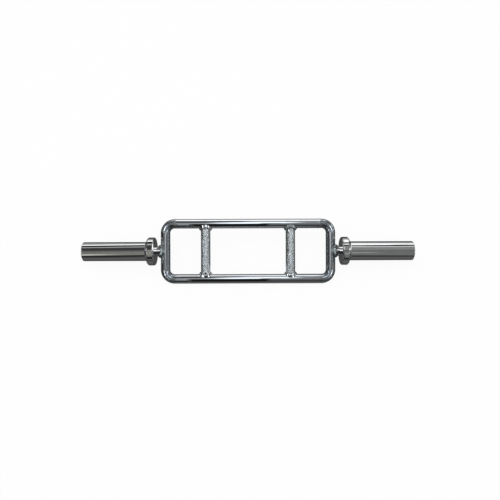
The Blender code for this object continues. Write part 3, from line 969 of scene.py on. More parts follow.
@dataclass
class FrameAssembly:
    """The bent frame with its grips, axles and welds."""

    places: Places
    finishes: Finishes
    bend_radius: float = 0.024
    bend_steps: int = 26
    side_bar_wear: float = 0.35
    end_taper: float = 0.0025
    weld_width: float = 0.0036
    weld_crown: float = 0.00008
    grip_radius: float = 0.0125
    knurl_start: float = 0.0166
    grip_neck: float = 0.0112
    grip_end_gap: float = 0.002
    axle_radius: float = 0.0125
    axle_root: float = 0.004
    axle_easing: float = 0.00025
    axle_sides: int = 80
    journal_radius: float = 0.011
    journal_edge: float = 0.001
    journal_overlap: float = 0.0001
    bend_wear_rise: float = 3.0
    edge_wear: float = 0.6
    wear_reach: float = 0.009
    seam_reach: float = 0.004
    weld_sink: float = 0.00006
    weld_cuts: int = 96
    bar: BentBar = field(init=False)
    grip_saddle: Saddle = Saddle(bar_leg=0.0052, branch_leg=0.0044, rounding=0.0082, crown=0.0009,
                                 low_crown=0.001, uneven=0.15, branch_neck=0.0012, lean=0.003,
                                 bead=WeldBead(ripple_height=0.00013, ripple_pitch=0.003, lump=0.00035,
                                               lump_size=250.0))
    axle_saddle: Saddle = Saddle(bar_leg=0.0052, branch_leg=0.0062, rounding=0.005, crown=0.0016,
                                 low_crown=0.0014, uneven=0.1,
                                 bead=WeldBead(ripple_height=0.00004, lump=0.0001))

    def __post_init__(self) -> None:
        """Take the bar's radius from the places."""
        self.bar = BentBar(self.places.bar_radius)

    def build(self) -> None:
        """Make every piece of the frame."""
        self._bow()
        self._upper_rail()
        self._rail_welds()
        for side in Side:
            self._grip(side)
            self._grip_welds(side)
            self._axle(side)
            self._axle_weld(side)

    def _straight(self, start: Vector, end: Vector, outward: Vector, distance: float) -> list[Station]:
        """The stations of a straight stretch, without its last."""
        length = (end - start).length
        count = max(1, round(length / self.bar.straight_step))
        stations = []
        for step in range(count):
            share = step / count
            near_end = min(share, 1 - share) * length
            near_bend = self.edge_wear * max(0.0, 1 - near_end / self.wear_reach)
            # Side bars take part of the worked mask: a mottled, rougher skin, and a darker colour that is
            # painted shade.
            worked = max(self.side_bar_wear * abs(outward.x), near_bend)
            if distance < self.seam_reach:
                worked = self.edge_wear
            stations.append(Station(start.lerp(end, share), outward, distance + share * length, worked))
        return stations

    def _bow_stations(self) -> list[Station]:
        """The centreline from one seam of the upper rail, round the frame, to the other."""
        places = self.places
        tip = 2 * places.rail_seam - places.rail_tip
        inner_x = places.half_length - self.bend_radius
        inner_y = places.half_height - self.bend_radius
        stations: list[Station] = []
        distance = 0.0
        point = Vector((-tip, places.half_height, 0.0))
        corners = ((-inner_x, inner_y), (-inner_x, -inner_y), (inner_x, -inner_y), (inner_x, inner_y))
        for number, corner in enumerate(corners):
            centre = Vector((*corner, 0.0))
            first = math.radians(90 * (number + 1))
            outward = plane_way(first)
            bend_start = centre + outward * self.bend_radius
            stations += self._straight(point, bend_start, outward, distance)
            distance += (bend_start - point).length
            for step in range(self.bend_steps):
                turn = step / self.bend_steps * math.pi / 2
                outward = plane_way(first + turn)
                edge = min(step, self.bend_steps - step) / self.bend_steps
                worked = min(1.0, self.edge_wear + edge * self.bend_wear_rise)
                stations.append(Station(centre + outward * self.bend_radius, outward,
                                        distance + turn * self.bend_radius, worked))
            distance += math.pi / 2 * self.bend_radius
            outward = plane_way(first + math.pi / 2)
            point = centre + outward * self.bend_radius
        end = Vector((tip, places.half_height, 0.0))
        stations += self._straight(point, end, outward, distance)
        stations.append(Station(end, outward, distance, self.edge_wear))
        return stations

    def _tapered(self, stations: list[Station]) -> list[Station]:
        """Narrow a bar's two ends for the welds, as a lathe would before welding."""
        first = self._narrowed(stations[0], stations[1])
        last = self._narrowed(stations[-1], stations[-2])
        return [*first, *stations[1:-1], *reversed(last)]

    def _narrowed(self, end: Station, inner: Station) -> list[Station]:
        """The narrow tip of a bar and the shoulder behind it, in that order."""
        share = (self.bar.radius - self.end_taper) / self.bar.radius
        way = (inner.point - end.point).normalized()
        shoulder = end.point + way * self.end_taper
        return [Station(end.point, end.outward, end.distance, end.worked, share),
                Station(shoulder, end.outward, end.distance, end.worked)]

    def _bow(self) -> None:
        """The lower rail, side bars and bends."""
        piece = self.bar.skin("frame_bow_bar", self._tapered(self._bow_stations()))
        piece.finish(self.places.frame_plane, self.finishes.rail, FRAME_BODY, Slot.BRIGHT_CHROME,
                     ["frame_bow"])

    def _upper_rail(self) -> None:
        """The straight bar between the two seams."""
        places = self.places
        start = Vector((-places.rail_tip, places.half_height, 0.0))
        end = Vector((places.rail_tip, places.half_height, 0.0))
        outward = Vector((0.0, 1.0, 0.0))
        count = round((end - start).length / self.bar.straight_step)
        stations = [Station(start.lerp(end, step / count), outward, 0.0, 0.0) for step in range(count + 1)]
        piece = self.bar.skin("upper_rail_bar", self._tapered(stations))
        piece.finish(places.frame_plane, self.finishes.rail, FRAME_BODY, Slot.BRIGHT_CHROME, ["upper_rail"])

    def _rail_welds(self) -> None:
        """The two low beads that close the upper rail."""
        places = self.places
        bead = WeldBead(ripple_pitch=0.003, ripple_height=0.00002, lump=0.00003, root=0.0024)
        half = Vector((self.weld_width, 0.0, 0.0))
        for side in Side:
            centre = Vector((side.value * places.rail_seam, places.half_height, 0.0))
            sections = []
            for way in spokes(self.weld_cuts):
                corner = centre + way * (places.bar_radius - self.weld_sink)
                crown = corner + way * 2 * self.weld_crown
                sections.append(Section(corner, corner - half, corner + half, way, crown))
            piece = bead.skin(f"{side.label}_rail_weld_bead", sections, seed=3.0 + side.value)
            piece.finish(places.frame_plane, self.finishes.rail, FRAME_BODY, Slot.PLATED_WELD,
                         [f"{side.label}_rail_weld"])

    def _grip(self, side: Side) -> None:
        """An upright grip with a cut diamond knurl between two smooth lands."""
        places = self.places
        reach = places.half_height - self.grip_end_gap
        knurl = Knurl(radius=self.grip_radius, half_length=places.half_height - self.knurl_start,
                      neck=self.grip_neck)
        piece = knurl.skin(f"{side.label}_grip_bar", side.value * places.grip_offset, reach)
        piece.finish(places.frame_plane, self.finishes.knurl, FRAME_BODY, Slot.KNURLED_CHROME,
                     [f"{side.label}_grip"], smooth_angle=knurl.smooth_angle)

    def _saddle_piece(self, name: str, saddle: Saddle, seed: float) -> Piece:
        """Lay a bead round a bar that leaves a bar of the frame."""
        sections = saddle.sections(self.places.bar_radius, seed)
        return saddle.bead.skin(name, sections, seed)

    def _grip_welds(self, side: Side) -> None:
        """The beads at the two ends of a grip, of which one took the plating less well than the others."""
        places = self.places
        for end, up in (("upper", 1), ("lower", -1)):
            seed = 11.0 + 5 * up + 2 * side.value
            piece = self._saddle_piece(f"{side.label}_grip_{end}_bead", self.grip_saddle, seed)
            spot = Vector((side.value * places.grip_offset, up * places.half_height, 0.0))
            turn = Matrix.Identity(4) if up > 0 else Matrix.Scale(-1, 4, Vector((0.0, 1.0, 0.0)))
            place = places.frame_plane @ Matrix.Translation(spot) @ turn
            dull = side is Side.RIGHT and up > 0
            piece.finish(place, self.finishes.dull_weld if dull else self.finishes.weld, FRAME_BODY,
                         Slot.PLATED_WELD, [f"{side.label}_grip_{end}_weld"])

    def _axle(self, side: Side) -> None:
        """A stub axle: plated where it shows, and turned to a journal inside the sleeve."""
        places = self.places
        shoulder = along_bar(f"{side.label}_inner_thrust_washer")[0] - GAP
        end = along_bar(f"{side.label}_axle")[1]
        ring_start, ring_end = along_bar(f"{side.label}_axle_ring")
        groove_radius = self.journal_radius - self.journal_edge
        root = places.half_length + self.axle_root
        profile = [
            (0.0, end),
            (groove_radius, end),
            (self.journal_radius, end - self.journal_edge),
            (self.journal_radius, ring_end + GAP),
            (groove_radius, ring_end + GAP),
            (groove_radius, ring_start - GAP),
            (self.journal_radius, ring_start - GAP),
            (self.journal_radius, shoulder),
            (self.axle_radius, shoulder),
            (self.axle_radius, root),
            (0.0, root),
        ]
        eased_profile = eased(profile, self.axle_easing, closed=False)
        points, faces = turned(eased_profile, self.axle_sides, side, closed=False)
        piece = Piece(f"{side.label}_axle_bar", points, faces)
        axle = piece.finish(places.axis, self.finishes.turned, FRAME_BODY, Slot.TURNED_STEEL,
                            [f"{side.label}_axle"])
        axle.data.materials.append(self.finishes.journal)
        for face in axle.data.polygons:
            if abs(face.center.x) > shoulder - self.journal_overlap:
                face.material_index = 1

    def _axle_weld(self, side: Side) -> None:
        """The bead where an axle meets its side bar."""
        places = self.places
        seed = 31.0 + 3 * side.value
        piece = self._saddle_piece(f"{side.label}_axle_bead", self.axle_saddle, seed)
        spot = Vector((side.value * places.half_length, 0.0, 0.0))
        turn = Matrix.Rotation(side.value * math.pi / 2, 4, "Z")
        place = places.frame_plane @ Matrix.Translation(spot) @ turn
        piece.finish(place, self.finishes.dull_weld, FRAME_BODY, Slot.PLATED_WELD,
                     [f"{side.label}_axle_weld"])


@dataclass
class Knurl:
    """A diamond knurl cut into a round bar that lies along Y."""

    radius: float
    half_length: float
    neck: float
    teeth: int = 36
    depth: float = 0.00026
    helix: float = math.radians(30)
    wear: float = 0.00014
    wear_size: float = 330.0
    lands: tuple[float, float, float] = (0.0006, 0.0014, 0.0034)
    land_ease: float = 0.0002
    smooth_angle: float = math.radians(18)

    def skin(self, name: str, offset: float, reach: float) -> Piece:
        """Make the bar with its knurl.

        Peaks and groove crossings take turns on a grid of half teeth. Each cell is split along its groove.

        Args:
            name: The piece's name.
            offset: The bar's place along X.
            reach: How far it goes each way along Y.

        Returns:
            The piece, with a mask of its grooves.
        """
        sides = 2 * self.teeth
        half_tooth = math.pi * self.radius / self.teeth
        rows = 2 * round(self.half_length * math.tan(self.helix) / half_tooth)
        step_length = 2 * self.half_length / rows
        lands = [self.half_length + land for land in self.lands]
        heights = [-reach, *(-land for land in reversed(lands))]
        heights += [-self.half_length + row * step_length for row in range(rows + 1)]
        heights += [*lands, reach]
        necks = {0: self.neck, 1: self.neck, 2: self.radius - self.land_ease}
        points: list[Vector] = []
        grooves: list[float] = []
        last = len(heights) - 1
        for row, height in enumerate(heights):
            cut = 4 < row < last - 4
            whole = necks.get(min(row, last - row), self.radius)
            for step in range(sides):
                groove = 1.0 if cut and (row + step) % 2 == 0 else 0.0
                angle = step / sides * math.tau
                spot = Vector((offset + whole * math.cos(angle), height, whole * math.sin(angle)))
                worn = self.wear * (0.5 + noise.noise(spot * self.wear_size)) if cut else 0.0
                radius = whole - groove * self.depth - max(0.0, worn) * (1 - groove)
                points.append(Vector((offset + radius * math.cos(angle), height, radius * math.sin(angle))))
                grooves.append(groove)
        faces: Faces = []
        for face in tube_faces(len(heights), sides, looped=False, capped=True):
            if len(face) != 4:
                faces.append(face)
                continue
            a, b, c, d = face
            row, step = divmod(a, sides)
            faces += [(a, b, c), (a, c, d)] if (row + step) % 2 == 0 else [(a, b, d), (b, c, d)]
        return Piece(name, points, faces, {"groove": grooves})


@dataclass
class SleeveAssembly:
    """One plate sleeve with its collar, the weld between them, and its end cap with its snap ring."""

    side: Side
    places: Places
    finishes: Finishes
    sleeve_radius: float = 0.025
    bore_radius: float = 0.019
    end_chamfer: float = 0.001
    seat_depth: float = 0.001
    inner_chamfer: float = 0.0025
    outer_chamfer: float = 0.0035
    web: float = 0.004
    web_bore: float = 0.0131
    weld_leg: float = 0.0045
    weld_relief: float = 0.0005
    weld_bulge: float = 0.45
    weld_cuts: int = 180
    groove_depth: float = 0.001
    ring_height: float = 0.0026
    cap_dish: float = 0.0015
    cap_rim: float = 0.006
    cap_mark: tuple[float, float, float] = (0.0022, 0.0026, 0.0032)
    cap_mark_depth: float = 0.0003
    easing: float = 0.0003
    collar_easing: float = 0.0005
    sides: int = 144

    @property
    def label(self) -> str:
        """The word that this end's names start with."""
        return self.side.label

    @property
    def collar_radius(self) -> float:
        """The collar's radius, as the bar lies on its collars."""
        return self.places.axis_height

    def build(self) -> None:
        """Make every piece of the sleeve."""
        self._collar()
        self._collar_weld()
        self._tube()
        self._end_cap()
        self._end_ring()

    def _turned_piece(self, name: str, profile: Profile, easing: float, closed: bool, node: str) -> None:
        """Turn a profile and hang it on the sleeve's body in place of a solid."""
        points, faces = turned(eased(profile, easing, closed), self.sides, self.side, closed)
        piece = Piece(f"{self.label}_{name}", points, faces)
        piece.finish(self.places.axis, self.finishes.turned, self.side.body, Slot.BRIGHT_CHROME,
                     [f"{self.label}_{node}"])

    def _collar(self) -> None:
        """The rim and web that plates rest against."""
        start, end = along_bar(f"{self.label}_collar")
        seat = self.sleeve_radius + GAP
        plate_seat = seat + self.weld_leg + GAP
        relief = end - self.weld_relief
        profile = [
            (self.collar_radius - self.outer_chamfer, end),
            (self.collar_radius, end - self.outer_chamfer),
            (self.collar_radius, start + self.inner_chamfer),
            (self.collar_radius - self.inner_chamfer, start),
            (self.web_bore, start),
            (self.web_bore, start + self.web),
            (seat, start + self.web),
            (seat, relief),
            (plate_seat, relief),
            (plate_seat, end),
        ]
        self._turned_piece("collar_ring", profile, self.collar_easing, True, "collar")

    def _collar_weld(self) -> None:
        """The bead that joins the collar to the sleeve."""
        base = along_bar(f"{self.label}_collar_weld")[0]
        bead = WeldBead(ripple_pitch=0.003, ripple_height=0.00016, lump=0.00016, root=0.0)
        along = Vector((self.side.value, 0.0, 0.0))
        sections = []
        for way in spokes(self.weld_cuts):
            corner = way * (self.sleeve_radius + GAP / 2) + along * (base - GAP / 2)
            outward = (way + along).normalized()
            crown = corner + outward * self.weld_bulge * self.weld_leg
            sections.append(Section(corner, corner + way * self.weld_leg, corner + along * self.weld_leg,
                                    outward, crown))
        piece = bead.skin(f"{self.label}_collar_bead", sections, seed=50.0 + self.side.value)
        piece.finish(self.places.axis, self.finishes.weld, self.side.body, Slot.PLATED_WELD,
                     [f"{self.label}_collar_weld"])

    def _tube(self) -> None:
        """The tube that plates slide on."""
        start, end = along_bar(f"{self.label}_sleeve")
        cap_start, _ = along_bar(f"{self.label}_end_cap")
        ring_start, ring_end = along_bar(f"{self.label}_end_ring")
        seat = self.bore_radius + self.seat_depth
        profile = [
            (self.sleeve_radius - self.end_chamfer, end),
            (self.sleeve_radius, end - self.end_chamfer),
            (self.sleeve_radius, start),
            (self.bore_radius, start),
            (self.bore_radius, cap_start - GAP),
            (seat, cap_start - GAP),
            (seat, ring_start - GAP),
            (seat + self.groove_depth, ring_start - GAP),
            (seat + self.groove_depth, ring_end + GAP),
            (seat, ring_end + GAP),
            (seat, end),
        ]
        self._turned_piece("sleeve_tube", profile, self.easing, True, "sleeve")

    def _end_cap(self) -> None:
        """The dished disc that closes the sleeve."""
        start, end = along_bar(f"{self.label}_end_cap")
        rim = self.bore_radius + self.seat_depth - GAP
        dish = end - self.cap_dish
        mark_start, mark_middle, mark_end = self.cap_mark
        profile = [
            (0.0, dish),
            (mark_start, dish),
            (mark_middle, dish - self.cap_mark_depth),
            (mark_end, dish),
            (rim - self.cap_rim - self.cap_dish, dish),
            (rim - self.cap_rim, end),
            (rim, end),
            (rim, start),
            (0.0, start),
        ]
        self._turned_piece("end_disc", profile, self.easing, False, "end_cap")

    def _end_ring(self) -> None:
        """The snap ring in front of the cap, with an eye for the pliers at each end."""
        start, end = along_bar(f"{self.label}_end_ring")
        outer = self.bore_radius + self.seat_depth + self.groove_depth - GAP
        ring = SnapRing(outer=outer, height=self.ring_height, thickness=end - start)
        piece = ring.skin(f"{self.label}_end_clip")
        middle = Matrix.Translation((self.side.value * (start + end) / 2, 0.0, 0.0))
        turn = Matrix.Rotation(self.side.value * math.pi / 2, 4, "Y")
        piece.finish(self.places.axis @ middle @ turn, self.finishes.spring, self.side.body,
                     Slot.SPRING_STEEL, [f"{self.label}_end_ring"])


@dataclass
class SnapRing:
    """A split ring that springs outwards into a groove."""

    outer: float
    height: float
    thickness: float
    opening: float = math.radians(50)
    ear_height: float = 0.0028
    ear_angle: float = math.radians(16)
    eye_radius: float = 0.0009
    eye_depth: float = 0.62
    eye_steps: int = 16
    bevel: float = 0.0001
    steps: int = 96

    def _radius_inside(self, angle: float) -> float:
        """The inner radius at an angle from the middle of the opening, less by the ears at the ends."""
        first = self.opening / 2 + self.ear_angle / 2
        away = min(abs(angle - first), abs(math.tau - first - angle)) / (self.ear_angle / 2)
        ear = math.sqrt(max(0.0, 1 - min(1.0, away) ** 2))
        return self.outer - self.height - self.ear_height * ear

    def skin(self, name: str) -> Piece:
        """Cut the ring from sheet, about local Z.

        Args:
            name: The piece's name.

        Returns:
            The piece.
        """
        start = self.opening / 2
        angles = [start + step / self.steps * (math.tau - self.opening) for step in range(self.steps + 1)]
        outline = [plane_way(angle) * self.outer for angle in angles]
        outline += [plane_way(angle) * self._radius_inside(angle) for angle in reversed(angles)]
        loops = [outline]
        for sign in (1, -1):
            middle = self.outer - (self.height + self.ear_height) * self.eye_depth
            centre = plane_way(sign * (start + self.ear_angle / 2)) * middle
            turns = [step / self.eye_steps * math.tau for step in range(self.eye_steps)]
            loops.append([centre + plane_way(turn) * self.eye_radius for turn in turns])
        curve = bpy.data.curves.new(name, "CURVE")
        curve.dimensions = "2D"
        curve.fill_mode = "BOTH"
        curve.extrude = self.thickness / 2 - self.bevel
        curve.bevel_depth = self.bevel
        curve.bevel_resolution = 1
        for loop in loops:
            spline = curve.splines.new("POLY")
            spline.points.add(len(loop) - 1)
            for spot, place in zip(spline.points, loop):
                spot.co = (*place, 1.0)
            spline.use_cyclic_u = True
        draft = bpy.data.objects.new(name, curve)
        mesh = bpy.data.meshes.new_from_object(draft)
        edited = bmesh.new()
        edited.from_mesh(mesh)
        bmesh.ops.remove_doubles(edited, verts=edited.verts, dist=1e-6)
        points = [vertex.co.copy() for vertex in edited.verts]
        faces = [tuple(vertex.index for vertex in face.verts) for face in edited.faces]
        edited.free()
        bpy.data.objects.remove(draft)
        bpy.data.curves.remove(curve)
        bpy.data.meshes.remove(mesh)
        return Piece(name, points, faces)


@dataclass(frozen=True)
class CarriedSolids:
    """The solids inside the sleeves, which keep their shapes and get their finishes."""

    finishes: Finishes

    def dress(self) -> None:
        """Give each solid its material."""
        for side in Side:
            label = side.label
            dressed = {
                f"{label}_inner_thrust_washer": self.finishes.washer,
                f"{label}_outer_thrust_washer": self.finishes.washer,
                f"{label}_axle_ring": self.finishes.spring,
                f"{label}_inner_bush": self.finishes.bronze,
                f"{label}_outer_bush": self.finishes.bronze,
            }
            for node, material in dressed.items():
                solid = frame["nodes"][node]
                solid.data.materials.clear()
                solid.data.materials.append(material)
                LOG.info("%s: %s", node, material.name)


class CardShape(Enum):
    """How a card's light falls off: from straight edges, or from a round rim."""

    PANEL = "panel"
    ROUND = "round"


@dataclass(frozen=True)
class Panel:
    """A part of the studio that only the plating shows, with its light and how that fades at its edges."""

    name: str
    level: float
    tint: Colour = field(default=(1.0, 1.0, 1.0), kw_only=True)
    soft_along: float = field(default=0.0, kw_only=True)
    soft_across: float = field(default=0.0, kw_only=True)
    shape: CardShape = field(default=CardShape.PANEL, kw_only=True)

    def corners(self, axis_height: float) -> list[Point]:
        """The panel's points, in pairs that follow each other across it."""
        raise NotImplementedError


@dataclass(frozen=True)
class Card(Panel):
    """A softbox, a wall or a dark flag that hangs round the bar.

    Its angles go round the bar in degrees: 0 is level in front, 90 straight above and 180 level behind. Its
    ends are given by the stretch of the bar that mirrors it towards the camera.
    """

    low: float
    high: float
    left: float
    right: float
    distance: float
    slant: float = 0.0
    steps: int = 16

    def corners(self, axis_height: float) -> list[Point]:
        """The card's points.

        Args:
            axis_height: The height of the axis that the angles go round.

        Returns:
            Its left and its right point at each step, from its low angle to its high one.
        """
        spread = 1 + self.distance / VIEW_DISTANCE
        points: list[Point] = []
        for step in range(self.steps + 1):
            turn = self.low + step / self.steps * (self.high - self.low)
            for place, slant in ((self.left, 0.0), (self.right, self.slant)):
                angle = math.radians(turn + slant)
                points.append((place * spread, -self.distance * math.cos(angle),
                               axis_height + self.distance * math.sin(angle)))
        return points


@dataclass(frozen=True)
class Strip(Panel):
    """A strip just above the floor, in front of the bar or behind it."""

    near: float
    far: float
    reach: float = 3.0
    height: float = 0.0005

    def corners(self, axis_height: float) -> list[Point]:
        """The strip's points."""
        rows = (self.near, self.far)
        return [(side.value * self.reach, depth, self.height) for depth in rows for side in Side]


@dataclass(frozen=True)
class EndWall(Panel):
    """An upright wall beyond an end of the bar."""

    side: Side
    distance: float = 3.0
    near: float = -2.7
    far: float = 2.7
    base: float = 0.0
    height: float = 2.7

    def corners(self, axis_height: float) -> list[Point]:
        """The wall's points."""
        place = self.side.value * self.distance
        rows = (self.base, self.height)
        return [(place, depth, rise) for rise in rows for depth in (self.near, self.far)]


def both_ends(name: str, levels: tuple[float, float], low: float, high: float, near: float, far: float,
              **options: object) -> list[Card]:
    """The same card at both ends of the bar.

    Args:
        name: What follows the words left and right in its name.
        levels: Its light at the left end and at the right one.
        low: Its lower angle.
        high: Its higher angle.
        near: Where the stretch of the bar that mirrors it starts, from the middle.
        far: Where that stretch ends.
        options: Its other fields.

    Returns:
        The two cards.
    """
    return [Card(f"left_{name}", levels[0], low, high, -far, -near, **options),
            Card(f"right_{name}", levels[1], low, high, near, far, **options)]


WARM = (1.0, 0.98, 0.88)
COOL = (0.93, 0.97, 1.0)
LEFT_SLEEVE = (-0.47, -0.2435)
RIGHT_SLEEVE = (0.2435, 0.47)
LEFT_COLLAR = (-0.2645, -0.243)
RIGHT_COLLAR = (0.243, 0.2645)
END_LIGHT = {"distance": 2.95, "near": 0.2, "far": 2.3, "base": 0.25, "height": 1.0}
GRIP_LIGHT = {"distance": 2.5, "tint": COOL, "soft_along": 0.15, "soft_across": 0.2}

PANELS: tuple[Panel, ...] = (
    Card("room", 0.15, -8, 188, -1.0, 1.0, 2.8),
    EndWall("left_wall", 0.03, Side.LEFT),
    EndWall("right_wall", 0.2, Side.RIGHT),
    EndWall("left_end_light", 0.35, Side.LEFT, **END_LIGHT),
    EndWall("right_end_light", 1.2, Side.RIGHT, **END_LIGHT),
    Card("rear_wall", 0.45, 166, 188, -0.6, 0.6, 2.6, soft_along=0.1),
    Card("rear_softbox", 1.2, 137.5, 173, -0.215, 0.215, 2.3, -4, soft_along=0.04, soft_across=0.03),
    Card("left_sky_flag", 0.015, 103, 138, -0.2, -0.005, 2.1, soft_along=0.1, soft_across=0.06),
    Card("right_sky", 0.29, 99, 137, -0.01, 0.2, 2.2, soft_along=0.15, soft_across=0.06),
    Card("left_high_wall", 0.15, 82, 106, -0.2, -0.1, 2.2, soft_along=0.2, soft_across=0.15),
    Card("right_high_wall", 0.24, 60, 104, 0.03, 0.2, 2.3, soft_along=0.1, soft_across=0.08),
    Card("left_top_wall", 0.34, 63, 86, -0.2, -0.02, 2.1, soft_along=0.1, soft_across=0.12),
    Card("key_softbox", 1.3, 58, 108, -0.13, 0.16, 1.9, 12, tint=COOL, soft_along=0.45,
         shape=CardShape.ROUND),
    Card("key_flag", 0.16, 56, 83, 0.02, 0.095, 1.85, soft_along=0.25, soft_across=0.2),
    Card("left_window_wall", 0.3, 33, 74, -0.2, -0.155, 1.7, soft_along=0.2, soft_across=0.12),
    Card("middle_front_flag", 0.01, -4, 66, -0.165, 0.065, 1.8, soft_along=0.1, soft_across=0.06),
    Card("right_front_wall_inside", 0.11, 30, 64, 0.05, 0.22, 1.9, soft_along=0.1, soft_across=0.1),
    Card("left_low_flag", 0.015, -6, 33, -0.22, -0.15, 1.6, soft_along=0.1, soft_across=0.08),
    Card("right_low_flag", 0.04, -6, 32, 0.04, 0.22, 1.7, soft_along=0.1, soft_across=0.08),
    *both_ends("neck_flag", (0.02, 0.03), -8, 72, 0.226, 0.2435, distance=1.5, soft_across=0.06),
    *both_ends("neck_light", (1.2, 1.2), 80, 106, 0.23, 0.2435, distance=1.4, soft_across=0.2),
    Card("left_sleeve_softbox", 1.2, 142, 159, *LEFT_SLEEVE, 2.2, 15, soft_across=0.2),
    Card("left_sleeve_flag", 0.003, 122, 144, *LEFT_SLEEVE, 2.1, 14, soft_across=0.12),
    Card("left_ceiling", 0.42, 111, 129, *LEFT_SLEEVE, 2.2, 14, soft_across=0.2),
    Card("left_top_flag", 0.045, 76, 114, *LEFT_SLEEVE, 2.0, 6, soft_across=0.1),
    Card("left_front_wall", 0.21, 17, 58, *LEFT_SLEEVE, 1.9, 12, tint=WARM, soft_across=0.1),
    Card("left_front_stripe", 0.95, 17, 30, -0.56, -0.31, 1.8, 14, tint=WARM, soft_along=0.6,
         soft_across=0.3),
    Card("left_front_flag", 0.02, -8, 18, *LEFT_SLEEVE, 1.8, 12, soft_across=0.12),
    Card("right_sleeve_softbox", 1.2, 145, 175, *RIGHT_SLEEVE, 2.2, -8, soft_across=0.08),
    Card("right_sleeve_flag", 0.003, 126, 145, *RIGHT_SLEEVE, 2.0, soft_along=0.45, soft_across=0.15),
    Card("right_sleeve_line", 0.003, 133, 140, 0.2435, 0.36, 1.95, soft_along=0.2, soft_across=0.2),
    Card("right_ceiling", 0.6, 112, 137, *RIGHT_SLEEVE, 2.1, soft_along=0.1, soft_across=0.15),
    Card("right_top", 0.24, 76, 114, *RIGHT_SLEEVE, 1.9, 6, soft_across=0.12),
    Card("right_sleeve_end_line", 0.003, 131, 148, 0.36, 0.47, 1.93, soft_along=0.2, soft_across=0.1),
    Card("right_front_wall", 0.16, 15, 74, *RIGHT_SLEEVE, 1.9, -5, soft_across=0.12),
    Card("right_front_line", 0.31, 38, 58, 0.2, 0.36, 1.85, soft_along=0.4, soft_across=0.4),
    Card("right_front_flag", 0.03, -8, 16, *RIGHT_SLEEVE, 1.8, -6, soft_across=0.1),
    Card("left_collar_wall", 0.26, 40, 86, *LEFT_COLLAR, 1.75, tint=WARM, soft_across=0.1),
    Card("right_collar_line", 1.2, 122, 130, *RIGHT_COLLAR, 1.9, soft_across=0.2),
    Card("right_collar_flag", 0.01, 112, 121, *RIGHT_COLLAR, 1.9, soft_across=0.2),
    *both_ends("grip_light", (5.0, 4.8), 75, 97, 0.475, 0.74, **GRIP_LIGHT),
    *both_ends("low_grip_light", (4.7, 4.4), 45, 66, 0.475, 0.74, **GRIP_LIGHT),
    Strip("front_strip", 0.11, -0.07, -2.7),
    Strip("front_dark_strip", 0.03, -0.25, -0.8, height=0.001, soft_across=0.2),
    Strip("window_strip", 0.07, 0.066, -0.07),
    Strip("window_bright_strip", 0.45, -0.03, -0.06, 0.12, height=0.001),
    Strip("rear_near_strip", 0.05, 0.066, 0.2, height=0.001),
    Strip("rear_strip", 0.3, 0.066, 2.7),
)


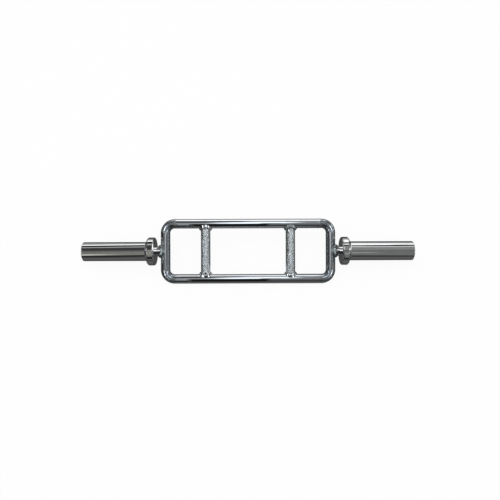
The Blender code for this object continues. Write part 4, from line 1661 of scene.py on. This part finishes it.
@dataclass
class Studio:
    """A pale floor, soft light, and the panels that the plating mirrors."""

    places: Places
    panels: tuple[Panel, ...] = PANELS
    sky_level: float = 0.78
    lamp_level: float = 10.0
    lamp_sides: tuple[float, float] = (2.2, 1.2)
    lamp_place: Point = (-0.3, 0.5, 2.0)
    lamp_tilt: float = math.radians(-14)
    floor_reach: float = 8.0

    def build(self) -> None:
        """Set up the floor, the lamp, the sky and the panels."""
        self._floor()
        self._sky()
        self._lamp()
        for panel in self.panels:
            self._panel(panel)

    @staticmethod
    def _sheet(name: str, rows: list[Point], material: Material) -> bpy.types.Object:
        """Stage a sheet.

        Args:
            name: The object's name.
            rows: Its points, in pairs that follow each other across it.
            material: What it is covered with.

        Returns:
            The object.
        """
        mesh = bpy.data.meshes.new(name)
        faces = [(n, n + 1, n + 3, n + 2) for n in range(0, len(rows) - 2, 2)]
        mesh.from_pydata(rows, [], faces)
        mesh.materials.append(material)
        sheet = new_object(name, mesh)
        return sheet

    def _floor(self) -> None:
        """A wide pale floor."""
        far = self.floor_reach
        rows = [(-far, -far, 0.0), (far, -far, 0.0), (-far, far, 0.0), (far, far, 0.0)]
        self._sheet("studio_floor", rows, PaleFloor().build())

    def _sky(self) -> None:
        """An even, pale light from all round, which looks clear white itself."""
        world = bpy.data.worlds.new("studio_light")
        world.use_nodes = True
        sketch = Sketch(world.node_tree)
        background = world.node_tree.nodes["Background"]
        background.inputs["Color"].default_value = (1.0, 1.0, 1.0, 1.0)
        strength = sketch.math("MULTIPLY_ADD", seen_share(sketch), 1.0 - self.sky_level, self.sky_level)
        sketch.join(strength, background.inputs["Strength"])
        bpy.context.scene.world = world

    def _lamp(self) -> None:
        """A large soft lamp overhead, which gives the bar its shadow."""
        lamp = bpy.data.lights.new("overhead_lamp", "AREA")
        lamp.shape = "RECTANGLE"
        lamp.size, lamp.size_y = self.lamp_sides
        lamp.energy = self.lamp_level
        holder = new_object("overhead_lamp", lamp)
        holder.location = self.lamp_place
        holder.rotation_euler = (self.lamp_tilt, 0.0, 0.0)
        holder.visible_glossy = False

    def _panel(self, panel: Panel) -> None:
        """Hang one panel."""
        rows = panel.corners(self.places.axis_height)
        sheet = self._sheet(panel.name, rows, self._panel_light(panel))
        last = len(rows) // 2 - 1
        across = [step / last for step in range(last + 1) for _ in Side]
        give_masks(sheet.data, {"along": [0.0, 1.0] * (last + 1), "across": across})
        sheet.visible_camera = False
        sheet.visible_diffuse = False
        sheet.visible_shadow = False
        LOG.info("%s: level %.2f", panel.name, panel.level)

    def _panel_light(self, panel: Panel) -> Material:
        """A panel's own light, which fades at its edges."""
        material = bpy.data.materials.new(panel.name)
        material.use_nodes = True
        material.node_tree.nodes.clear()
        sketch = Sketch(material.node_tree)
        glow = sketch.add("Emission", Color=(*panel.tint, 1.0), Strength=panel.level).outputs[0]
        surface = sketch.add("OutputMaterial").inputs["Surface"]
        mask = self._panel_mask(sketch, panel)
        if mask is None:
            sketch.join(glow, surface)
            return material
        mix = sketch.add("MixShader")
        for socket, value in zip(mix.inputs, (mask, sketch.add("BsdfTransparent").outputs[0], glow)):
            sketch.join(value, socket)
        sketch.join(mix.outputs[0], surface)
        return material

    @staticmethod
    def _panel_mask(sketch: Sketch, panel: Panel) -> Socket | None:
        """Where a panel shows.

        Args:
            sketch: The sketch of its material's tree.
            panel: The panel.

        Returns:
            The mask's socket, or None where it shows everywhere.
        """
        places = [sketch.mask("along"), sketch.mask("across")]
        if panel.shape is CardShape.ROUND:
            doubled = [sketch.math("MULTIPLY_ADD", place, 2.0, -1.0) for place in places]
            squares = [sketch.math("POWER", place, 2.0) for place in doubled]
            away = sketch.math("SQRT", sketch.math("ADD", *squares))
            return sketch.ramp(away, 1.0, 1.0 - panel.soft_along)
        masks = []
        for place, soft in zip(places, (panel.soft_along, panel.soft_across)):
            if soft > 0:
                masks += [sketch.ramp(place, 0.0, soft), sketch.ramp(place, 1.0, 1.0 - soft)]
        if not masks:
            return None
        mask = masks[0]
        for other in masks[1:]:
            mask = sketch.math("MULTIPLY", mask, other)
        return mask


@dataclass(frozen=True)
class PhotoCamera:
    """The camera, square to the frame's plane and level with its middle, as in the photograph."""

    places: Places
    distance: float = VIEW_DISTANCE
    lens: float = 35.0
    metres_per_pixel: float = 0.002637
    centre_column: float = 248.05
    centre_row: float = 251.15
    frame_pixels: float = 500.0
    sensor_width: float = 36.0
    roll: float = math.radians(-0.2)

    def build(self) -> None:
        """Make the camera and look through it."""
        towards_camera = self.places.frame_plane.to_3x3() @ Vector((0.0, 0.0, 1.0))
        up = self.places.frame_plane.to_3x3() @ Vector((0.0, 1.0, 0.0))
        across = (self.frame_pixels / 2 - self.centre_column) * self.metres_per_pixel
        lift = (self.centre_row - self.frame_pixels / 2) * self.metres_per_pixel
        aim = Vector((across, 0.0, self.places.axis_height)) + up * lift
        data = bpy.data.cameras.new("photo_camera")
        data.lens = self.lens
        data.sensor_width = self.sensor_width
        camera = new_object("photo_camera", data)
        camera.location = aim + towards_camera * self.distance
        turn = Matrix((Vector((1.0, 0.0, 0.0)), up, towards_camera)).transposed().to_4x4()
        camera.rotation_euler = (turn @ Matrix.Rotation(self.roll, 4, "Z")).to_euler()
        bpy.context.scene.camera = camera


def main() -> None:
    """Build the bar and its studio."""
    logging.basicConfig(level=logging.INFO, format="%(message)s")
    for item in list(bpy.data.objects):
        if item.name in ("Cube", "Light", "Camera"):
            bpy.data.objects.remove(item, do_unlink=True)
    places = Places.read(bar_radius=0.0125)
    finishes = Finishes(Effects(), places)
    FrameAssembly(places, finishes).build()
    for side in Side:
        SleeveAssembly(side, places, finishes).build()
    CarriedSolids(finishes).dress()
    Studio(places).build()
    PhotoCamera(places).build()
    bpy.context.scene.view_settings.view_transform = "Standard"


if __name__ == "__main__":
    main()
